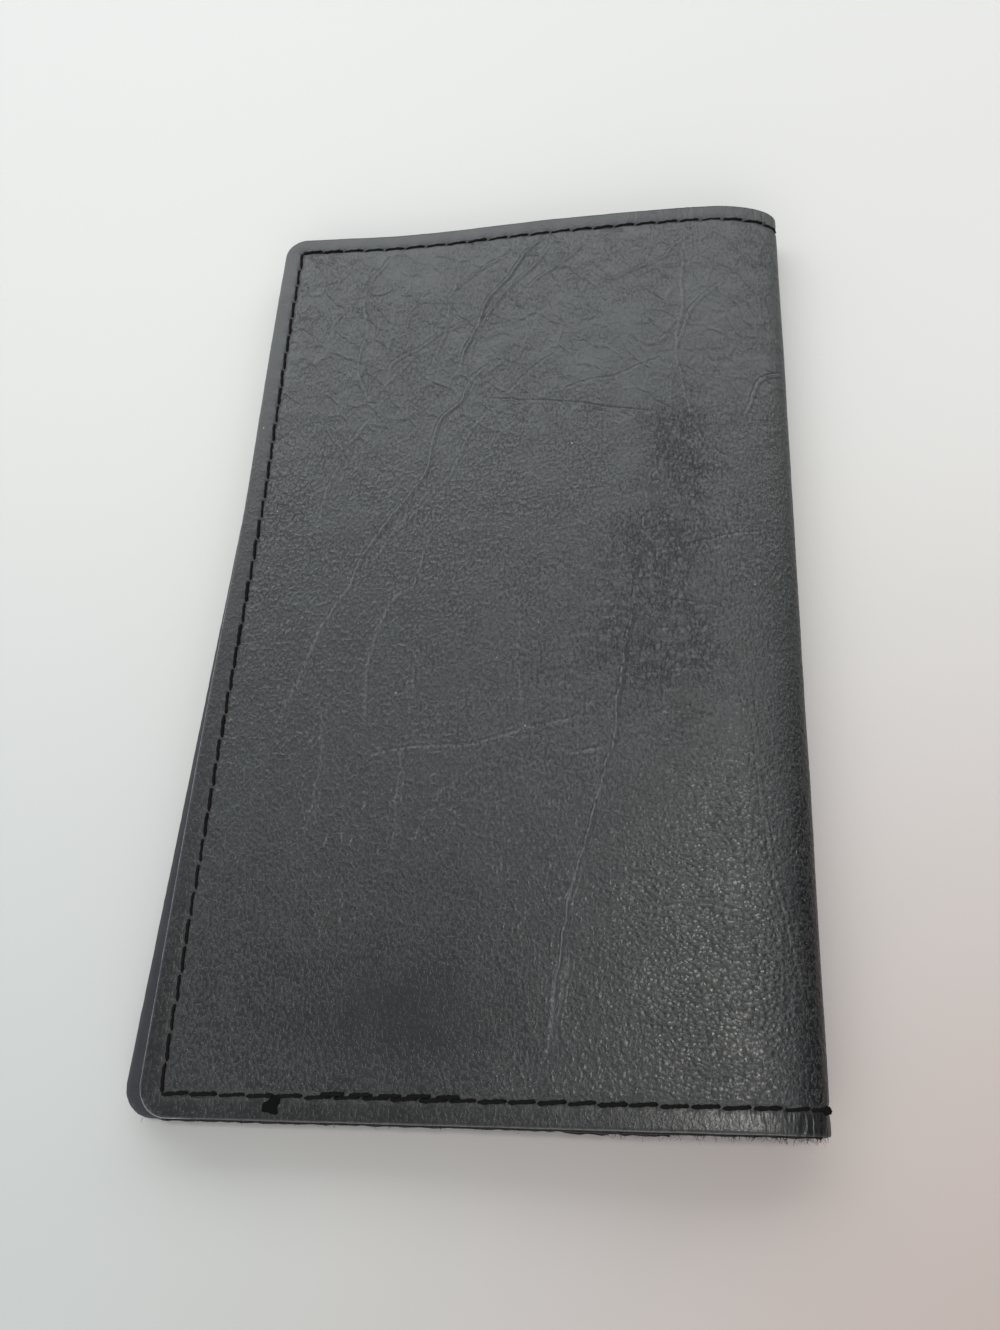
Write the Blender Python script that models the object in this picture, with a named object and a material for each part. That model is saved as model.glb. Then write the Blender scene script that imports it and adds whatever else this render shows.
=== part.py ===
"""Badge wallet: a black leather bifold, closed, lying on its back cover.

The wallet is cut and folded here as it is on the bench. Each layer is a flat
pattern, drawn with its grain side up: the front cover on the left, the fold in
the middle and the back cover on the right. The pattern is given its thickness
and its cut-outs while it is flat, and is then wrapped on the wallet's side
profile at its own depth below the outer face.

Pattern axes: s runs across the leather from the front's open edge (negative)
through the middle of the fold (0) to the back's open edge (positive), y runs
up the wallet, and h is the height over the outer face, so layers lie below 0.
World axes: +X towards the fold, +Y up the wallet, +Z up from the table.
"""

import math

import bmesh
import bpy
from mathutils import Vector

MM = 0.001

# Closed wallet
CLOSED_WIDTH = 76.2 * MM  # front cover's open edge to the outermost line of the fold
HEIGHT = 127.0 * MM
TOP_CORNER = 3.2 * MM  # the open edges' corners, cut by hand; the fold's corners are square
BOTTOM_CORNER = 4.4 * MM
OVERHANG_TOP = -0.4 * MM  # how far the back cover reaches past the front's open edge
OVERHANG_BOTTOM = 2.95 * MM

# Side profile: the front lies level at its open edge and rises to a springy fold
FOLD_HEIGHT = 8.0 * MM
FOLD_DEPTH = 10.0 * MM  # the rounding from the level covers to the outermost line
RISE_START = 17.0 * MM  # from the front's open edge

# Layers
LEATHER = 0.9 * MM
LINING = 0.35 * MM
VINYL = 0.25 * MM
FRAME_LEATHER = 0.7 * MM
BACKING = 0.5 * MM
PANEL_LEATHER = 0.9 * MM
LAYER_GAP = 0.1 * MM  # clearance between sewn layers
CLOSED_GAP = 0.25 * MM  # between the two inner faces at the open edge
SPLIT_GAP = 0.3 * MM  # clearance where a cover meets the spine strip
SPLIT_ANGLE = math.radians(30.0)  # where that is, round the fold from its outermost line

# Seam
SEAM_INSET = 2.6 * MM
SEAM_CORNER = 1.2 * MM
THREAD_RADIUS = 0.25 * MM
GROOVE_WIDTH = 0.8 * MM
GROOVE_DEPTH = 0.6 * MM
THREAD_SINK = 0.02 * MM  # top of the thread under the leather's face

# Inner panels
PANEL_EDGE = 17.0 * MM  # free edge of the panels, from the outermost line of the fold
WINDOW_WIDTH = 42.0 * MM
WINDOW_HEIGHT = 102.0 * MM
WINDOW_CORNER = 3.0 * MM
WINDOW_BORDER = 7.0 * MM  # between the cut-out and the frame's free edge
VINYL_INSET = 1.0 * MM
NOTCH_WIDTH = 22.0 * MM
NOTCH_DEPTH = 4.0 * MM
BADGE_WIDTH = 44.0 * MM
BADGE_HEIGHT = 66.0 * MM
BADGE_CORNER = 4.0 * MM
BADGE_SHOULDER = 6.0 * MM  # where the straight sides end, above the badge's middle
SLIT_WIDTH = 1.6 * MM
SLIT_LENGTH = 12.0 * MM
SLIT_SPACING = 20.0 * MM

# How finely curves are cut
RISE_STEPS = 10
FOLD_STEPS = 24
ARC_STEPS = 8
THREAD_SIDES = 1  # bevel resolution, which gives six sides

# Worked out from the sizes above
FRONT_STACK = LEATHER + LINING + VINYL + FRAME_LEATHER + 3 * LAYER_GAP
BACK_STACK = LEATHER + LINING + BACKING + PANEL_LEATHER + 3 * LAYER_GAP
OPEN_HEIGHT = FRONT_STACK + CLOSED_GAP + BACK_STACK
SKEW = math.atan((OVERHANG_BOTTOM - OVERHANG_TOP) / HEIGHT)
CORNER_LOSS = BOTTOM_CORNER * (math.tan(SKEW) + 1 / math.cos(SKEW) - 1)
FOLD_X = (CLOSED_WIDTH + OVERHANG_BOTTOM - CORNER_LOSS) / 2  # puts x = 0 under the middle
FRONT_EDGE_X = FOLD_X - CLOSED_WIDTH
TANGENT_X = FOLD_X - FOLD_DEPTH
TOP_Y = HEIGHT / 2


def smooth(t):
    return t * t * (3 - 2 * t)


def side_profile():
    """(x, z, normal x, normal z) along the outer face, from the front's open edge to the back's."""
    far_edge = FRONT_EDGE_X - OVERHANG_BOTTOM
    rise_x = FRONT_EDGE_X + RISE_START
    points = [(FRONT_EDGE_X, OPEN_HEIGHT, 0.0, 1.0)]
    for step in range(RISE_STEPS):
        t = step / RISE_STEPS
        z = OPEN_HEIGHT + (FOLD_HEIGHT - OPEN_HEIGHT) * smooth(t)
        points.append((rise_x + (TANGENT_X - rise_x) * t, z, 0.0, 1.0))
    for step in range(FOLD_STEPS + 1):
        angle = math.pi * (0.5 - step / FOLD_STEPS)
        across, up = math.cos(angle), math.sin(angle)
        x = TANGENT_X + FOLD_DEPTH * across
        z = FOLD_HEIGHT / 2 * (1 + up)
        points.append((x, z, across, up))
    points.append((far_edge, 0.0, 0.0, -1.0))
    return points


def measured(points):
    """The same stations with s, their distance along the face from the outermost line, in front."""
    lengths = [0.0]
    for (x0, z0, _, _), (x1, z1, _, _) in zip(points, points[1:]):
        lengths.append(lengths[-1] + math.hypot(x1 - x0, z1 - z0))
    middle = lengths[1 + RISE_STEPS + FOLD_STEPS // 2]
    return [(length - middle, *point) for length, point in zip(lengths, points)]


STATIONS = measured(side_profile())
FRONT_END = STATIONS[0][0]
FOLD_START = STATIONS[1 + RISE_STEPS][0]
FOLD_END = -FOLD_START
BACK_END_BOTTOM = STATIONS[-1][0]
BACK_END_TOP = BACK_END_BOTTOM - (OVERHANG_BOTTOM - OVERHANG_TOP)


def between_stations(s):
    """x, z and the outward normal of the outer face at s, straight between the stations."""
    for low, high in zip(STATIONS, STATIONS[1:]):
        if s <= high[0] or high is STATIONS[-1]:
            t = (s - low[0]) / (high[0] - low[0])
            return [a + (b - a) * t for a, b in zip(low[1:], high[1:])]


def split_station():
    """s where the back cover ends and the spine strip starts."""
    z = FOLD_HEIGHT / 2 * (1 - math.sin(SPLIT_ANGLE))
    for low, high in zip(STATIONS, STATIONS[1:]):
        if low[0] >= 0 and high[2] <= z:
            return low[0] + (high[0] - low[0]) * (low[2] - z) / (low[2] - high[2])


SPLIT = split_station()


def s_on_back(x):
    """s of a place on the level part of the back cover."""
    return FOLD_END + TANGENT_X - x


def s_on_front(x):
    """s of a place on the front cover."""
    for low, high in zip(STATIONS, STATIONS[1:]):
        if x <= high[1]:
            return low[0] + (high[0] - low[0]) * (x - low[1]) / (high[1] - low[1])


def rounded(corners, radii, closed=True):
    """A polygon or an open line whose corners are arcs that touch both of their sides."""
    points = []
    count = len(corners)
    for i, (corner, radius) in enumerate(zip(corners, radii)):
        if radius <= 0 or (not closed and i in (0, count - 1)):
            points.append(Vector(corner))
            continue
        here = Vector(corner)
        before = (Vector(corners[i - 1]) - here).normalized()
        after = (Vector(corners[(i + 1) % count]) - here).normalized()
        half = before.angle(after) / 2
        centre = here + (before + after).normalized() * radius / math.sin(half)
        first = here + before * radius / math.tan(half) - centre
        last = here + after * radius / math.tan(half) - centre
        sweep = first.angle_signed(last)
        for step in range(ARC_STEPS + 1):
            angle = -sweep * step / ARC_STEPS
            turned = Vector(
                (
                    first.x * math.cos(angle) - first.y * math.sin(angle),
                    first.x * math.sin(angle) + first.y * math.cos(angle),
                )
            )
            points.append(centre + turned)
    return points


def end_of_back(y):
    """s of the back's open edge, which isn't square to the fold."""
    t = (y + TOP_Y) / HEIGHT
    return BACK_END_BOTTOM + (BACK_END_TOP - BACK_END_BOTTOM) * t


def front_outline(inner, inset=0.0):
    y = TOP_Y - inset
    corners = [(FRONT_END + inset, -y), (inner, -y), (inner, y), (FRONT_END + inset, y)]
    return rounded(corners, [BOTTOM_CORNER - inset, 0, 0, TOP_CORNER - inset])


def back_outline(inner, inset=0.0):
    y = TOP_Y - inset
    corners = [
        (inner, -y),
        (end_of_back(-y) - inset, -y),
        (end_of_back(y) - inset, y),
        (inner, y),
    ]
    return rounded(corners, [0, BOTTOM_CORNER - inset, TOP_CORNER - inset, 0])


def strip_outline():
    s = SPLIT - SPLIT_GAP / 2
    return rounded([(-s, -TOP_Y), (s, -TOP_Y), (s, TOP_Y), (-s, TOP_Y)], [0] * 4)


def front_seam(inset, inner):
    """The seam's open line round the front's three sewn edges, at a distance from them."""
    y = TOP_Y - inset
    s = FRONT_END + inset
    radius = SEAM_CORNER + SEAM_INSET - inset
    return rounded([(inner, y), (s, y), (s, -y), (inner, -y)], [0, radius, radius, 0], False)


def back_seam(inset, inner):
    y = TOP_Y - inset
    low = (end_of_back(-y) - inset, -y)
    high = (end_of_back(y) - inset, y)
    radius = SEAM_CORNER + SEAM_INSET - inset
    return rounded([(inner, -y), low, high, (inner, y)], [0, radius, radius, 0], False)


def rectangle(s, y, width, height, radius=0.0):
    corners = [
        (s - width / 2, y - height / 2),
        (s + width / 2, y - height / 2),
        (s + width / 2, y + height / 2),
        (s - width / 2, y + height / 2),
    ]
    return rounded(corners, [radius] * 4)


def shield(s):
    """A plain shield: square shoulders, straight sides and two arcs that meet in a point."""
    half = BADGE_WIDTH / 2
    drop = BADGE_SHOULDER + BADGE_HEIGHT / 2
    radius = (half**2 + drop**2) / BADGE_WIDTH
    reach = math.asin(drop / radius)
    arc = []
    for step in range(ARC_STEPS + 1):
        angle = reach * step / ARC_STEPS
        arc.append((half - radius + radius * math.cos(angle), BADGE_SHOULDER - radius * math.sin(angle)))
    right = [(half, BADGE_HEIGHT / 2), *arc]
    left = [(-x, y) for x, y in reversed(right[:-1])]
    radii = [BADGE_CORNER] + [0] * (len(right) + len(left) - 2) + [BADGE_CORNER]
    return rounded([(s + x, y) for x, y in right + left], radii)


def notched_outline(free_edge):
    """The window frame's outline, with a shallow thumb notch in its free edge."""
    half = NOTCH_WIDTH / 2
    radius = (half**2 + NOTCH_DEPTH**2) / (2 * NOTCH_DEPTH)
    reach = math.asin(half / radius)
    arc = []
    for step in range(2 * ARC_STEPS + 1):
        angle = reach * (step / ARC_STEPS - 1)
        depth = radius * math.cos(angle) - (radius - NOTCH_DEPTH)
        arc.append((free_edge - depth, radius * math.sin(angle)))
    outline = front_outline(free_edge)
    turn = next(i for i, point in enumerate(outline) if abs(point[0] - free_edge) < MM / 100)
    return outline[: turn + 1] + arc + outline[turn + 1 :]


def collection(name):
    made = bpy.data.collections.new(name)
    bpy.context.scene.collection.children.link(made)
    return made


def material(name, colour, roughness, alpha=1.0):
    made = bpy.data.materials.new(name)
    made.use_nodes = True
    shader = made.node_tree.nodes["Principled BSDF"]
    shader.inputs["Base Color"].default_value = (*colour, 1.0)
    shader.inputs["Roughness"].default_value = roughness
    shader.inputs["Metallic"].default_value = 0.0
    shader.inputs["Alpha"].default_value = alpha
    made.diffuse_color = (*colour, alpha)
    return made


def mesh_of(obj):
    """The evaluated mesh of a curve or a modified object, in world space, welded."""
    graph = bpy.context.evaluated_depsgraph_get()
    mesh = bpy.data.meshes.new_from_object(obj.evaluated_get(graph))
    mesh.transform(obj.matrix_world)
    work = bmesh.new()
    work.from_mesh(mesh)
    bmesh.ops.remove_doubles(work, verts=work.verts, dist=MM / 1000)
    bmesh.ops.recalc_face_normals(work, faces=work.faces)
    work.to_mesh(mesh)
    work.free()
    bpy.data.objects.remove(obj)
    return mesh


def placed(obj):
    bpy.context.scene.collection.objects.link(obj)
    bpy.context.view_layer.update()
    return obj


def flat_solid(name, outlines, top, thickness):
    """A flat pattern with its holes, from h = -top down through its thickness."""
    curve = bpy.data.curves.new(name, "CURVE")
    curve.dimensions = "2D"
    curve.fill_mode = "BOTH"
    curve.extrude = thickness / 2
    for outline in outlines:
        spline = curve.splines.new("POLY")
        spline.points.add(len(outline) - 1)
        for point, (s, y) in zip(spline.points, outline):
            point.co = (s, y, 0.0, 1.0)
        spline.use_cyclic_u = True
    obj = placed(bpy.data.objects.new(name, curve))
    obj.location.z = -top - thickness / 2
    bpy.context.view_layer.update()
    return mesh_of(obj)


def flat_thread(name, line):
    """A thread laid along the pattern, its top just under the leather's face."""
    curve = bpy.data.curves.new(name, "CURVE")
    curve.dimensions = "3D"
    curve.bevel_depth = THREAD_RADIUS
    curve.bevel_resolution = THREAD_SIDES
    curve.use_fill_caps = True
    spline = curve.splines.new("POLY")
    spline.points.add(len(line) - 1)
    for point, (s, y) in zip(spline.points, line):
        point.co = (s, y, -THREAD_SINK - THREAD_RADIUS, 1.0)
    return mesh_of(placed(bpy.data.objects.new(name, curve)))


def with_groove(mesh, bands):
    """The pattern with the seam's groove cut into its grain side."""
    obj = placed(bpy.data.objects.new(mesh.name, mesh))
    for number, band in enumerate(bands):
        above = GROOVE_DEPTH
        cutter_mesh = flat_solid("groove_cutter", [band], -above, above + GROOVE_DEPTH)
        cutter = placed(bpy.data.objects.new("groove_cutter", cutter_mesh))
        cutter.hide_render = True
        cutter.display_type = "WIRE"
        modifier = obj.modifiers.new(f"groove_{number}", "BOOLEAN")
        modifier.operation = "DIFFERENCE"
        modifier.solver = "EXACT"
        modifier.object = cutter
    bpy.context.view_layer.update()
    cutters = [modifier.object for modifier in obj.modifiers]
    cut = mesh_of(obj)
    for cutter in cutters:
        bpy.data.objects.remove(cutter)
    return cut


def wrap(mesh):
    """Cuts the flat mesh at the profile's stations and lays it on the profile."""
    work = bmesh.new()
    work.from_mesh(mesh)
    low = min(vert.co.x for vert in work.verts)
    high = max(vert.co.x for vert in work.verts)
    for station in STATIONS:
        s = station[0]
        if low + MM / 100 < s < high - MM / 100:
            everything = work.verts[:] + work.edges[:] + work.faces[:]
            bmesh.ops.bisect_plane(
                work, geom=everything, dist=MM / 1000, plane_co=(s, 0, 0), plane_no=(1, 0, 0)
            )
    for vert in work.verts:
        x, z, across, up = between_stations(vert.co.x)
        vert.co.x = x + vert.co.z * across
        vert.co.z = z + vert.co.z * up
    bmesh.ops.remove_doubles(work, verts=work.verts, dist=MM / 1000)
    bmesh.ops.triangulate(work, faces=work.faces)
    work.to_mesh(mesh)
    work.free()


def add(name, mesh, hinge, finish, target):
    """Names the piece, gives it its material and hangs it on its hinge."""
    obj = bpy.data.objects.new(name, mesh)
    mesh.name = name
    mesh.materials.clear()
    mesh.materials.append(finish)
    target.objects.link(obj)
    if hinge is not None:
        obj.parent = hinge
        for vert in mesh.vertices:
            vert.co -= hinge.matrix_world.translation
    mesh.shade_smooth()
    mesh.set_sharp_from_angle(angle=math.radians(30))
    return obj


def band(seam, inner):
    """The outline of the seam's groove: two lines, half its width either side of the thread."""
    outer = seam(SEAM_INSET - GROOVE_WIDTH / 2, inner)
    return outer + seam(SEAM_INSET + GROOVE_WIDTH / 2, inner)[::-1]


def hinge_at(name, z, parent, target):
    """An empty on a hinge line of the fold, where opening it flat keeps the leather's length."""
    made = bpy.data.objects.new(name, None)
    made.empty_display_size = 5 * MM
    target.objects.link(made)
    made.parent = parent
    place = Vector((FOLD_X - HINGE_INSET, 0.0, z))
    made.location = place - parent.matrix_world.translation if parent else place
    bpy.context.view_layer.update()
    return made


# Both covers lie on the table when the fold is flat, with the fold's leather neither
# stretched nor slack, if each hinge line is this far inside the fold's box.
HINGE_INSET = (2 * FOLD_DEPTH + FOLD_HEIGHT - 2 * FOLD_END) / 4


def front_pieces(hinge, looks, target):
    inner = -SPLIT - SPLIT_GAP / 2
    free = s_on_front(FOLD_X - PANEL_EDGE)
    past = inner + GROOVE_WIDTH

    cover = flat_solid("front_cover", [front_outline(inner)], 0.0, LEATHER)
    cover = with_groove(cover, [band(front_seam, past)])
    thread = flat_thread("front_seam_thread", front_seam(SEAM_INSET, inner))

    top = LEATHER + LAYER_GAP
    lining = flat_solid("front_lining", [front_outline(inner)], top, LINING)

    top += LINING + LAYER_GAP
    vinyl = flat_solid("id_window", [front_outline(free - VINYL_INSET, VINYL_INSET)], top, VINYL)

    top += VINYL + LAYER_GAP
    middle = free - WINDOW_BORDER - WINDOW_WIDTH / 2
    cut_out = rectangle(middle, 0.0, WINDOW_WIDTH, WINDOW_HEIGHT, WINDOW_CORNER)
    frame = flat_solid("window_frame", [notched_outline(free), cut_out], top, FRAME_LEATHER)

    for name, mesh, finish in (
        ("front_cover", cover, looks["cover"]),
        ("front_seam_thread", thread, looks["thread"]),
        ("front_lining", lining, looks["lining"]),
        ("id_window", vinyl, looks["vinyl"]),
        ("window_frame", frame, looks["panel"]),
    ):
        wrap(mesh)
        add(name, mesh, hinge, finish, target)


def back_pieces(looks, target):
    inner = SPLIT + SPLIT_GAP / 2
    free = s_on_back(FOLD_X - PANEL_EDGE)
    past = inner - GROOVE_WIDTH

    cover = flat_solid("back_cover", [back_outline(inner)], 0.0, LEATHER)
    cover = with_groove(cover, [band(back_seam, past)])
    thread = flat_thread("back_seam_thread", back_seam(SEAM_INSET, inner))

    top = LEATHER + LAYER_GAP
    lining = flat_solid("back_lining", [back_outline(inner)], top, LINING)

    middle = (free + BACK_END_TOP) / 2
    top += LINING + LAYER_GAP
    slits = [
        rectangle(middle + side * SLIT_SPACING / 2, 0.0, SLIT_WIDTH, SLIT_LENGTH)
        for side in (-1, 1)
    ]
    backing = flat_solid("badge_backing", [back_outline(free), *slits], top, BACKING)

    top += BACKING + LAYER_GAP
    panel = flat_solid("badge_panel", [back_outline(free), shield(middle)], top, PANEL_LEATHER)

    for name, mesh, finish in (
        ("back_cover", cover, looks["cover"]),
        ("back_seam_thread", thread, looks["thread"]),
        ("back_lining", lining, looks["lining"]),
        ("badge_backing", backing, looks["panel"]),
        ("badge_panel", panel, looks["panel"]),
    ):
        wrap(mesh)
        add(name, mesh, None, finish, target)


def spine_pieces(hinge, looks, target):
    s = SPLIT - SPLIT_GAP / 2
    y = TOP_Y - SEAM_INSET
    over = s + GROOVE_WIDTH
    bands = [rectangle(0.0, side * y, 2 * over, GROOVE_WIDTH) for side in (-1, 1)]
    cover = with_groove(flat_solid("spine_cover", [strip_outline()], 0.0, LEATHER), bands)
    wrap(cover)
    add("spine_cover", cover, hinge, looks["cover"], target)

    lining = flat_solid("spine_lining", [strip_outline()], LEATHER + LAYER_GAP, LINING)
    wrap(lining)
    add("spine_lining", lining, hinge, looks["lining"], target)

    for end, side in (("top", 1), ("bottom", -1)):
        name = f"spine_thread_{end}"
        thread = flat_thread(name, [(-s, side * y), (s, side * y)])
        wrap(thread)
        add(name, thread, hinge, looks["thread"], target)


def main():
    for obj in list(bpy.data.objects):
        bpy.data.objects.remove(obj)
    target = collection("badge_wallet")
    looks = {
        "cover": material("pebbled_black_leather", (0.045, 0.05, 0.052), 0.55),
        "panel": material("smooth_black_leather", (0.03, 0.03, 0.032), 0.5),
        "lining": material("black_lining", (0.02, 0.02, 0.022), 0.7),
        "thread": material("black_thread", (0.008, 0.008, 0.009), 0.65),
        "vinyl": material("clear_vinyl", (0.85, 0.88, 0.88), 0.12, 0.3),
    }
    spine_hinge = hinge_at("fold_hinge_back", HINGE_INSET, None, target)
    front_hinge = hinge_at("fold_hinge_front", FOLD_HEIGHT - HINGE_INSET, spine_hinge, target)
    back_pieces(looks, target)
    spine_pieces(spine_hinge, looks, target)
    front_pieces(front_hinge, looks, target)
    bpy.context.view_layer.update()


main()
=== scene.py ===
# %% [markdown]
# # A black badge wallet, closed on a pale table
#
# The wallet is a bifold of pebbled black leather: one outer piece folded round a springy
# spine, sewn round its edges to a thin lining and two inner panels. One panel frames a clear
# window for a card, and the other has a recess for a badge. This notebook dresses the solid
# model of the wallet: every layer is made flat, as a leather worker cuts it, and is then
# wrapped on the wallet's side profile.

# %% Load the solid model
import math

import bmesh
import bpy
import numpy as np
from mathutils import Matrix, Vector


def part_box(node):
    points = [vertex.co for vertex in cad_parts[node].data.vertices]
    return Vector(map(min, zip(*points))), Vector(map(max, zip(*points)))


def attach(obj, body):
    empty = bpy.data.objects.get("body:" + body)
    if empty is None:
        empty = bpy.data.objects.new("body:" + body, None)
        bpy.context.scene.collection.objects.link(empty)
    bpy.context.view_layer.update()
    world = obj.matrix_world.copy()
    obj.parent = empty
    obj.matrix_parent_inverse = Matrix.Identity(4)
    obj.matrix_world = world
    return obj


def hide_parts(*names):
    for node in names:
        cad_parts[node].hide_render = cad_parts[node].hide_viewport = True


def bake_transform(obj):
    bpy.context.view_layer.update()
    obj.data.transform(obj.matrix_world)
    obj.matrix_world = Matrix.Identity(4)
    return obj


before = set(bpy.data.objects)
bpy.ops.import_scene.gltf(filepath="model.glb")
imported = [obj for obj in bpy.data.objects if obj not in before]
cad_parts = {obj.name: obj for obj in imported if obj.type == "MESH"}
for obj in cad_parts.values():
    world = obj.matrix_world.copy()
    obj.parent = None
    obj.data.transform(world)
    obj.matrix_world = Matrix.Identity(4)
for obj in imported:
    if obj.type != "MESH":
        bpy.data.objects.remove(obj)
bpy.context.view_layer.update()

MM = 0.001
print("nodes:", len(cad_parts))

# %% [markdown]
# ## Sizes
#
# The solids say how long, wide and high the wallet is, so those sizes are read from their
# boxes. Thicknesses and the seam's margin are sizes of the leather goods trade: about a
# millimetre of leather, a third of one for the lining, and eight stitches to the inch.

# %% Sizes of the wallet
front_low, front_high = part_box("front_cover")
_, spine_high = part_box("spine_cover")

# Each layer's depth under the outer face, and its thickness
LEATHER_LAYER = (0.0, 0.9 * MM)
LINING_LAYER = (1.0 * MM, 0.35 * MM)
VINYL_LAYER = (1.45 * MM, 0.25 * MM)
FRAME_LAYER = (1.8 * MM, 0.7 * MM)
BACKING_LAYER = (1.45 * MM, 0.5 * MM)
PANEL_LAYER = (2.05 * MM, 0.9 * MM)

HEIGHT = front_high.y - front_low.y
TOP_Y = HEIGHT / 2
TOP_CORNER = 3.2 * MM
BOTTOM_CORNER = 3.7 * MM
OVERHANG_TOP = -0.4 * MM
OVERHANG_BOTTOM = 2.95 * MM
FOLD_X = spine_high.x
FOLD_DEPTH = 10.0 * MM
FOLD_HEIGHT = front_high.z
TANGENT_X = FOLD_X - FOLD_DEPTH
FRONT_EDGE_X = front_low.x
RISE_START = 17.0 * MM
OPEN_HEIGHT = front_low.z + LEATHER_LAYER[1]
SEAM_INSET = 2.6 * MM
SEAM_CORNER = 0.5 * MM
STITCH = 3.2 * MM

# The edges as cut by hand: a bow in the open edge, and a drop of the top edge to its corner
BOW_DEPTH = 0.42 * MM
BOW_MIDDLE = 14.0 * MM
BOW_REACH = 20.0 * MM
DROP_DEPTH = 0.9 * MM
DROP_START = 34.0 * MM
DROP_LENGTH = 30.0 * MM
EDGE_BAND = 10.5 * MM
BAND_FADE = 6.0 * MM

PANEL_EDGE = 17.0 * MM
WINDOW_WIDTH = 42.0 * MM
WINDOW_HEIGHT = 102.0 * MM
WINDOW_CORNER = 3.0 * MM
WINDOW_BORDER = 7.0 * MM
VINYL_INSET = 1.0 * MM
NOTCH_WIDTH = 22.0 * MM
NOTCH_DEPTH = 4.0 * MM
BADGE_WIDTH = 44.0 * MM
BADGE_HEIGHT = 66.0 * MM
BADGE_CORNER = 4.0 * MM
BADGE_SHOULDER = 6.0 * MM
SLIT_WIDTH = 1.6 * MM
SLIT_LENGTH = 12.0 * MM
SLIT_SPACING = 20.0 * MM
print(f"closed: {(FOLD_X - FRONT_EDGE_X) / MM:.1f} x {HEIGHT / MM:.1f} mm")
print(f"open edge {OPEN_HEIGHT / MM:.2f} mm, fold {FOLD_HEIGHT / MM:.2f} mm")

# %% [markdown]
# ## The side profile
#
# Seen from its end, the closed wallet is level on the table, goes round the fold in half an
# ellipse, and its front slopes gently down to a level open edge. A flat pattern has a place
# across it, s, which is negative on the front and positive on the back, with 0 in the middle
# of the fold. Bending the flat work with a table of that profile keeps every layer parallel,
# and it is the way the real layers come to lie.

# %% The profile and the wrap
FOLD_STATIONS = 161
RISE_STATIONS = 89
MIDDLE = 1 + RISE_STATIONS + FOLD_STATIONS // 2


def smooth(t):
    t = np.clip(t, 0.0, 1.0)
    return t * t * (3 - 2 * t)


def profile_table():
    """Rows of s, x, z and outward normal along the outer face, front edge to back edge."""
    rise_x = FRONT_EDGE_X + RISE_START
    t = np.arange(RISE_STATIONS) / RISE_STATIONS
    turn = np.linspace(math.pi / 2, -math.pi / 2, FOLD_STATIONS)
    far = FRONT_EDGE_X - OVERHANG_BOTTOM
    rise = rise_x + (TANGENT_X - rise_x) * t
    x = np.concatenate(([FRONT_EDGE_X], rise, TANGENT_X + FOLD_DEPTH * np.cos(turn), [far]))
    slope = OPEN_HEIGHT + (FOLD_HEIGHT - OPEN_HEIGHT) * smooth(t)
    z = np.concatenate(([OPEN_HEIGHT], slope, FOLD_HEIGHT / 2 * (1 + np.sin(turn)), [0.0]))
    across = np.concatenate((np.zeros(len(t) + 1), np.cos(turn), [0.0]))
    up = np.concatenate((np.ones(len(t) + 1), np.sin(turn), [-1.0]))
    s = np.concatenate(([0.0], np.cumsum(np.hypot(np.diff(x), np.diff(z)))))
    s -= s[MIDDLE]
    return np.stack((s, x, z, across, up), axis=1)


PROFILE = profile_table()
FRONT_REACH = -PROFILE[0, 0]
BACK_REACH = PROFILE[-1, 0]
FOLD_REACH = PROFILE[MIDDLE + FOLD_STATIONS // 2, 0]
FREE_EDGE = FOLD_REACH + PANEL_EDGE - FOLD_DEPTH


def wrap(points):
    """Flat points (s, y, height over the outer face) laid on the profile, as world points."""
    s, y, h = points.T
    x, z, across, up = (np.interp(s, PROFILE[:, 0], PROFILE[:, i]) for i in (1, 2, 3, 4))
    beyond = np.minimum(s - PROFILE[0, 0], 0.0)
    return np.stack((x + beyond + h * across, y, z + h * up), axis=1)


print(f"front {FRONT_REACH / MM:.2f} mm, back {BACK_REACH / MM:.2f} mm from the fold's middle")

# %% [markdown]
# ## The camera, the table and the light
#
# The camera stands over the wallet's lower edge with a phone's wide lens, so the far end is
# seen at a slant. A large soft window beyond the far end gives the leather its pale sheen
# there, and a small lamp above leaves a glint near the fold. A doorway at the far right and a
# pale wall on the near side fill in the table. The room is bright towards the near left and
# dim towards the far right, which leaves the side of the fold nearly black, helped by shade
# painted on the fold's low side, and the phone shades it from above. The table is a plain pale
# sheet, painted duller and warmer at the near right, and a little duller along the near side, as
# shade.

# %% Camera
IMAGE_WIDTH, IMAGE_HEIGHT = 1000, 1330
FOCAL_PIXELS = 1107.83
CENTRE_PIXEL = (585.02, 612.16)
CAMERA_FROM_FOLD = Vector((-14.56, -62.52, 135.30)) * MM
CAMERA_TURNS = (0.2140, 0.4409, -0.2085)  # about Z, X and Z again, in radians
SENSOR = 36.0


def make_camera():
    data = bpy.data.cameras.new("camera")
    data.sensor_width = SENSOR
    data.lens = FOCAL_PIXELS / IMAGE_HEIGHT * SENSOR
    data.shift_x = (IMAGE_WIDTH / 2 - CENTRE_PIXEL[0]) / IMAGE_HEIGHT
    data.shift_y = (CENTRE_PIXEL[1] - IMAGE_HEIGHT / 2) / IMAGE_HEIGHT
    data.clip_start = 0.005
    camera = bpy.data.objects.new("camera", data)
    bpy.context.scene.collection.objects.link(camera)
    yaw, tilt, roll = CAMERA_TURNS
    turned = Matrix.Rotation(yaw, 4, "Z") @ Matrix.Rotation(tilt, 4, "X") @ Matrix.Rotation(roll, 4, "Z")
    place = CAMERA_FROM_FOLD + Vector((FOLD_X, 0, 0))
    camera.matrix_world = Matrix.Translation(place) @ turned
    bpy.context.scene.camera = camera
    return camera


camera = make_camera()
print(f"lens {camera.data.lens:.1f} mm")

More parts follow.
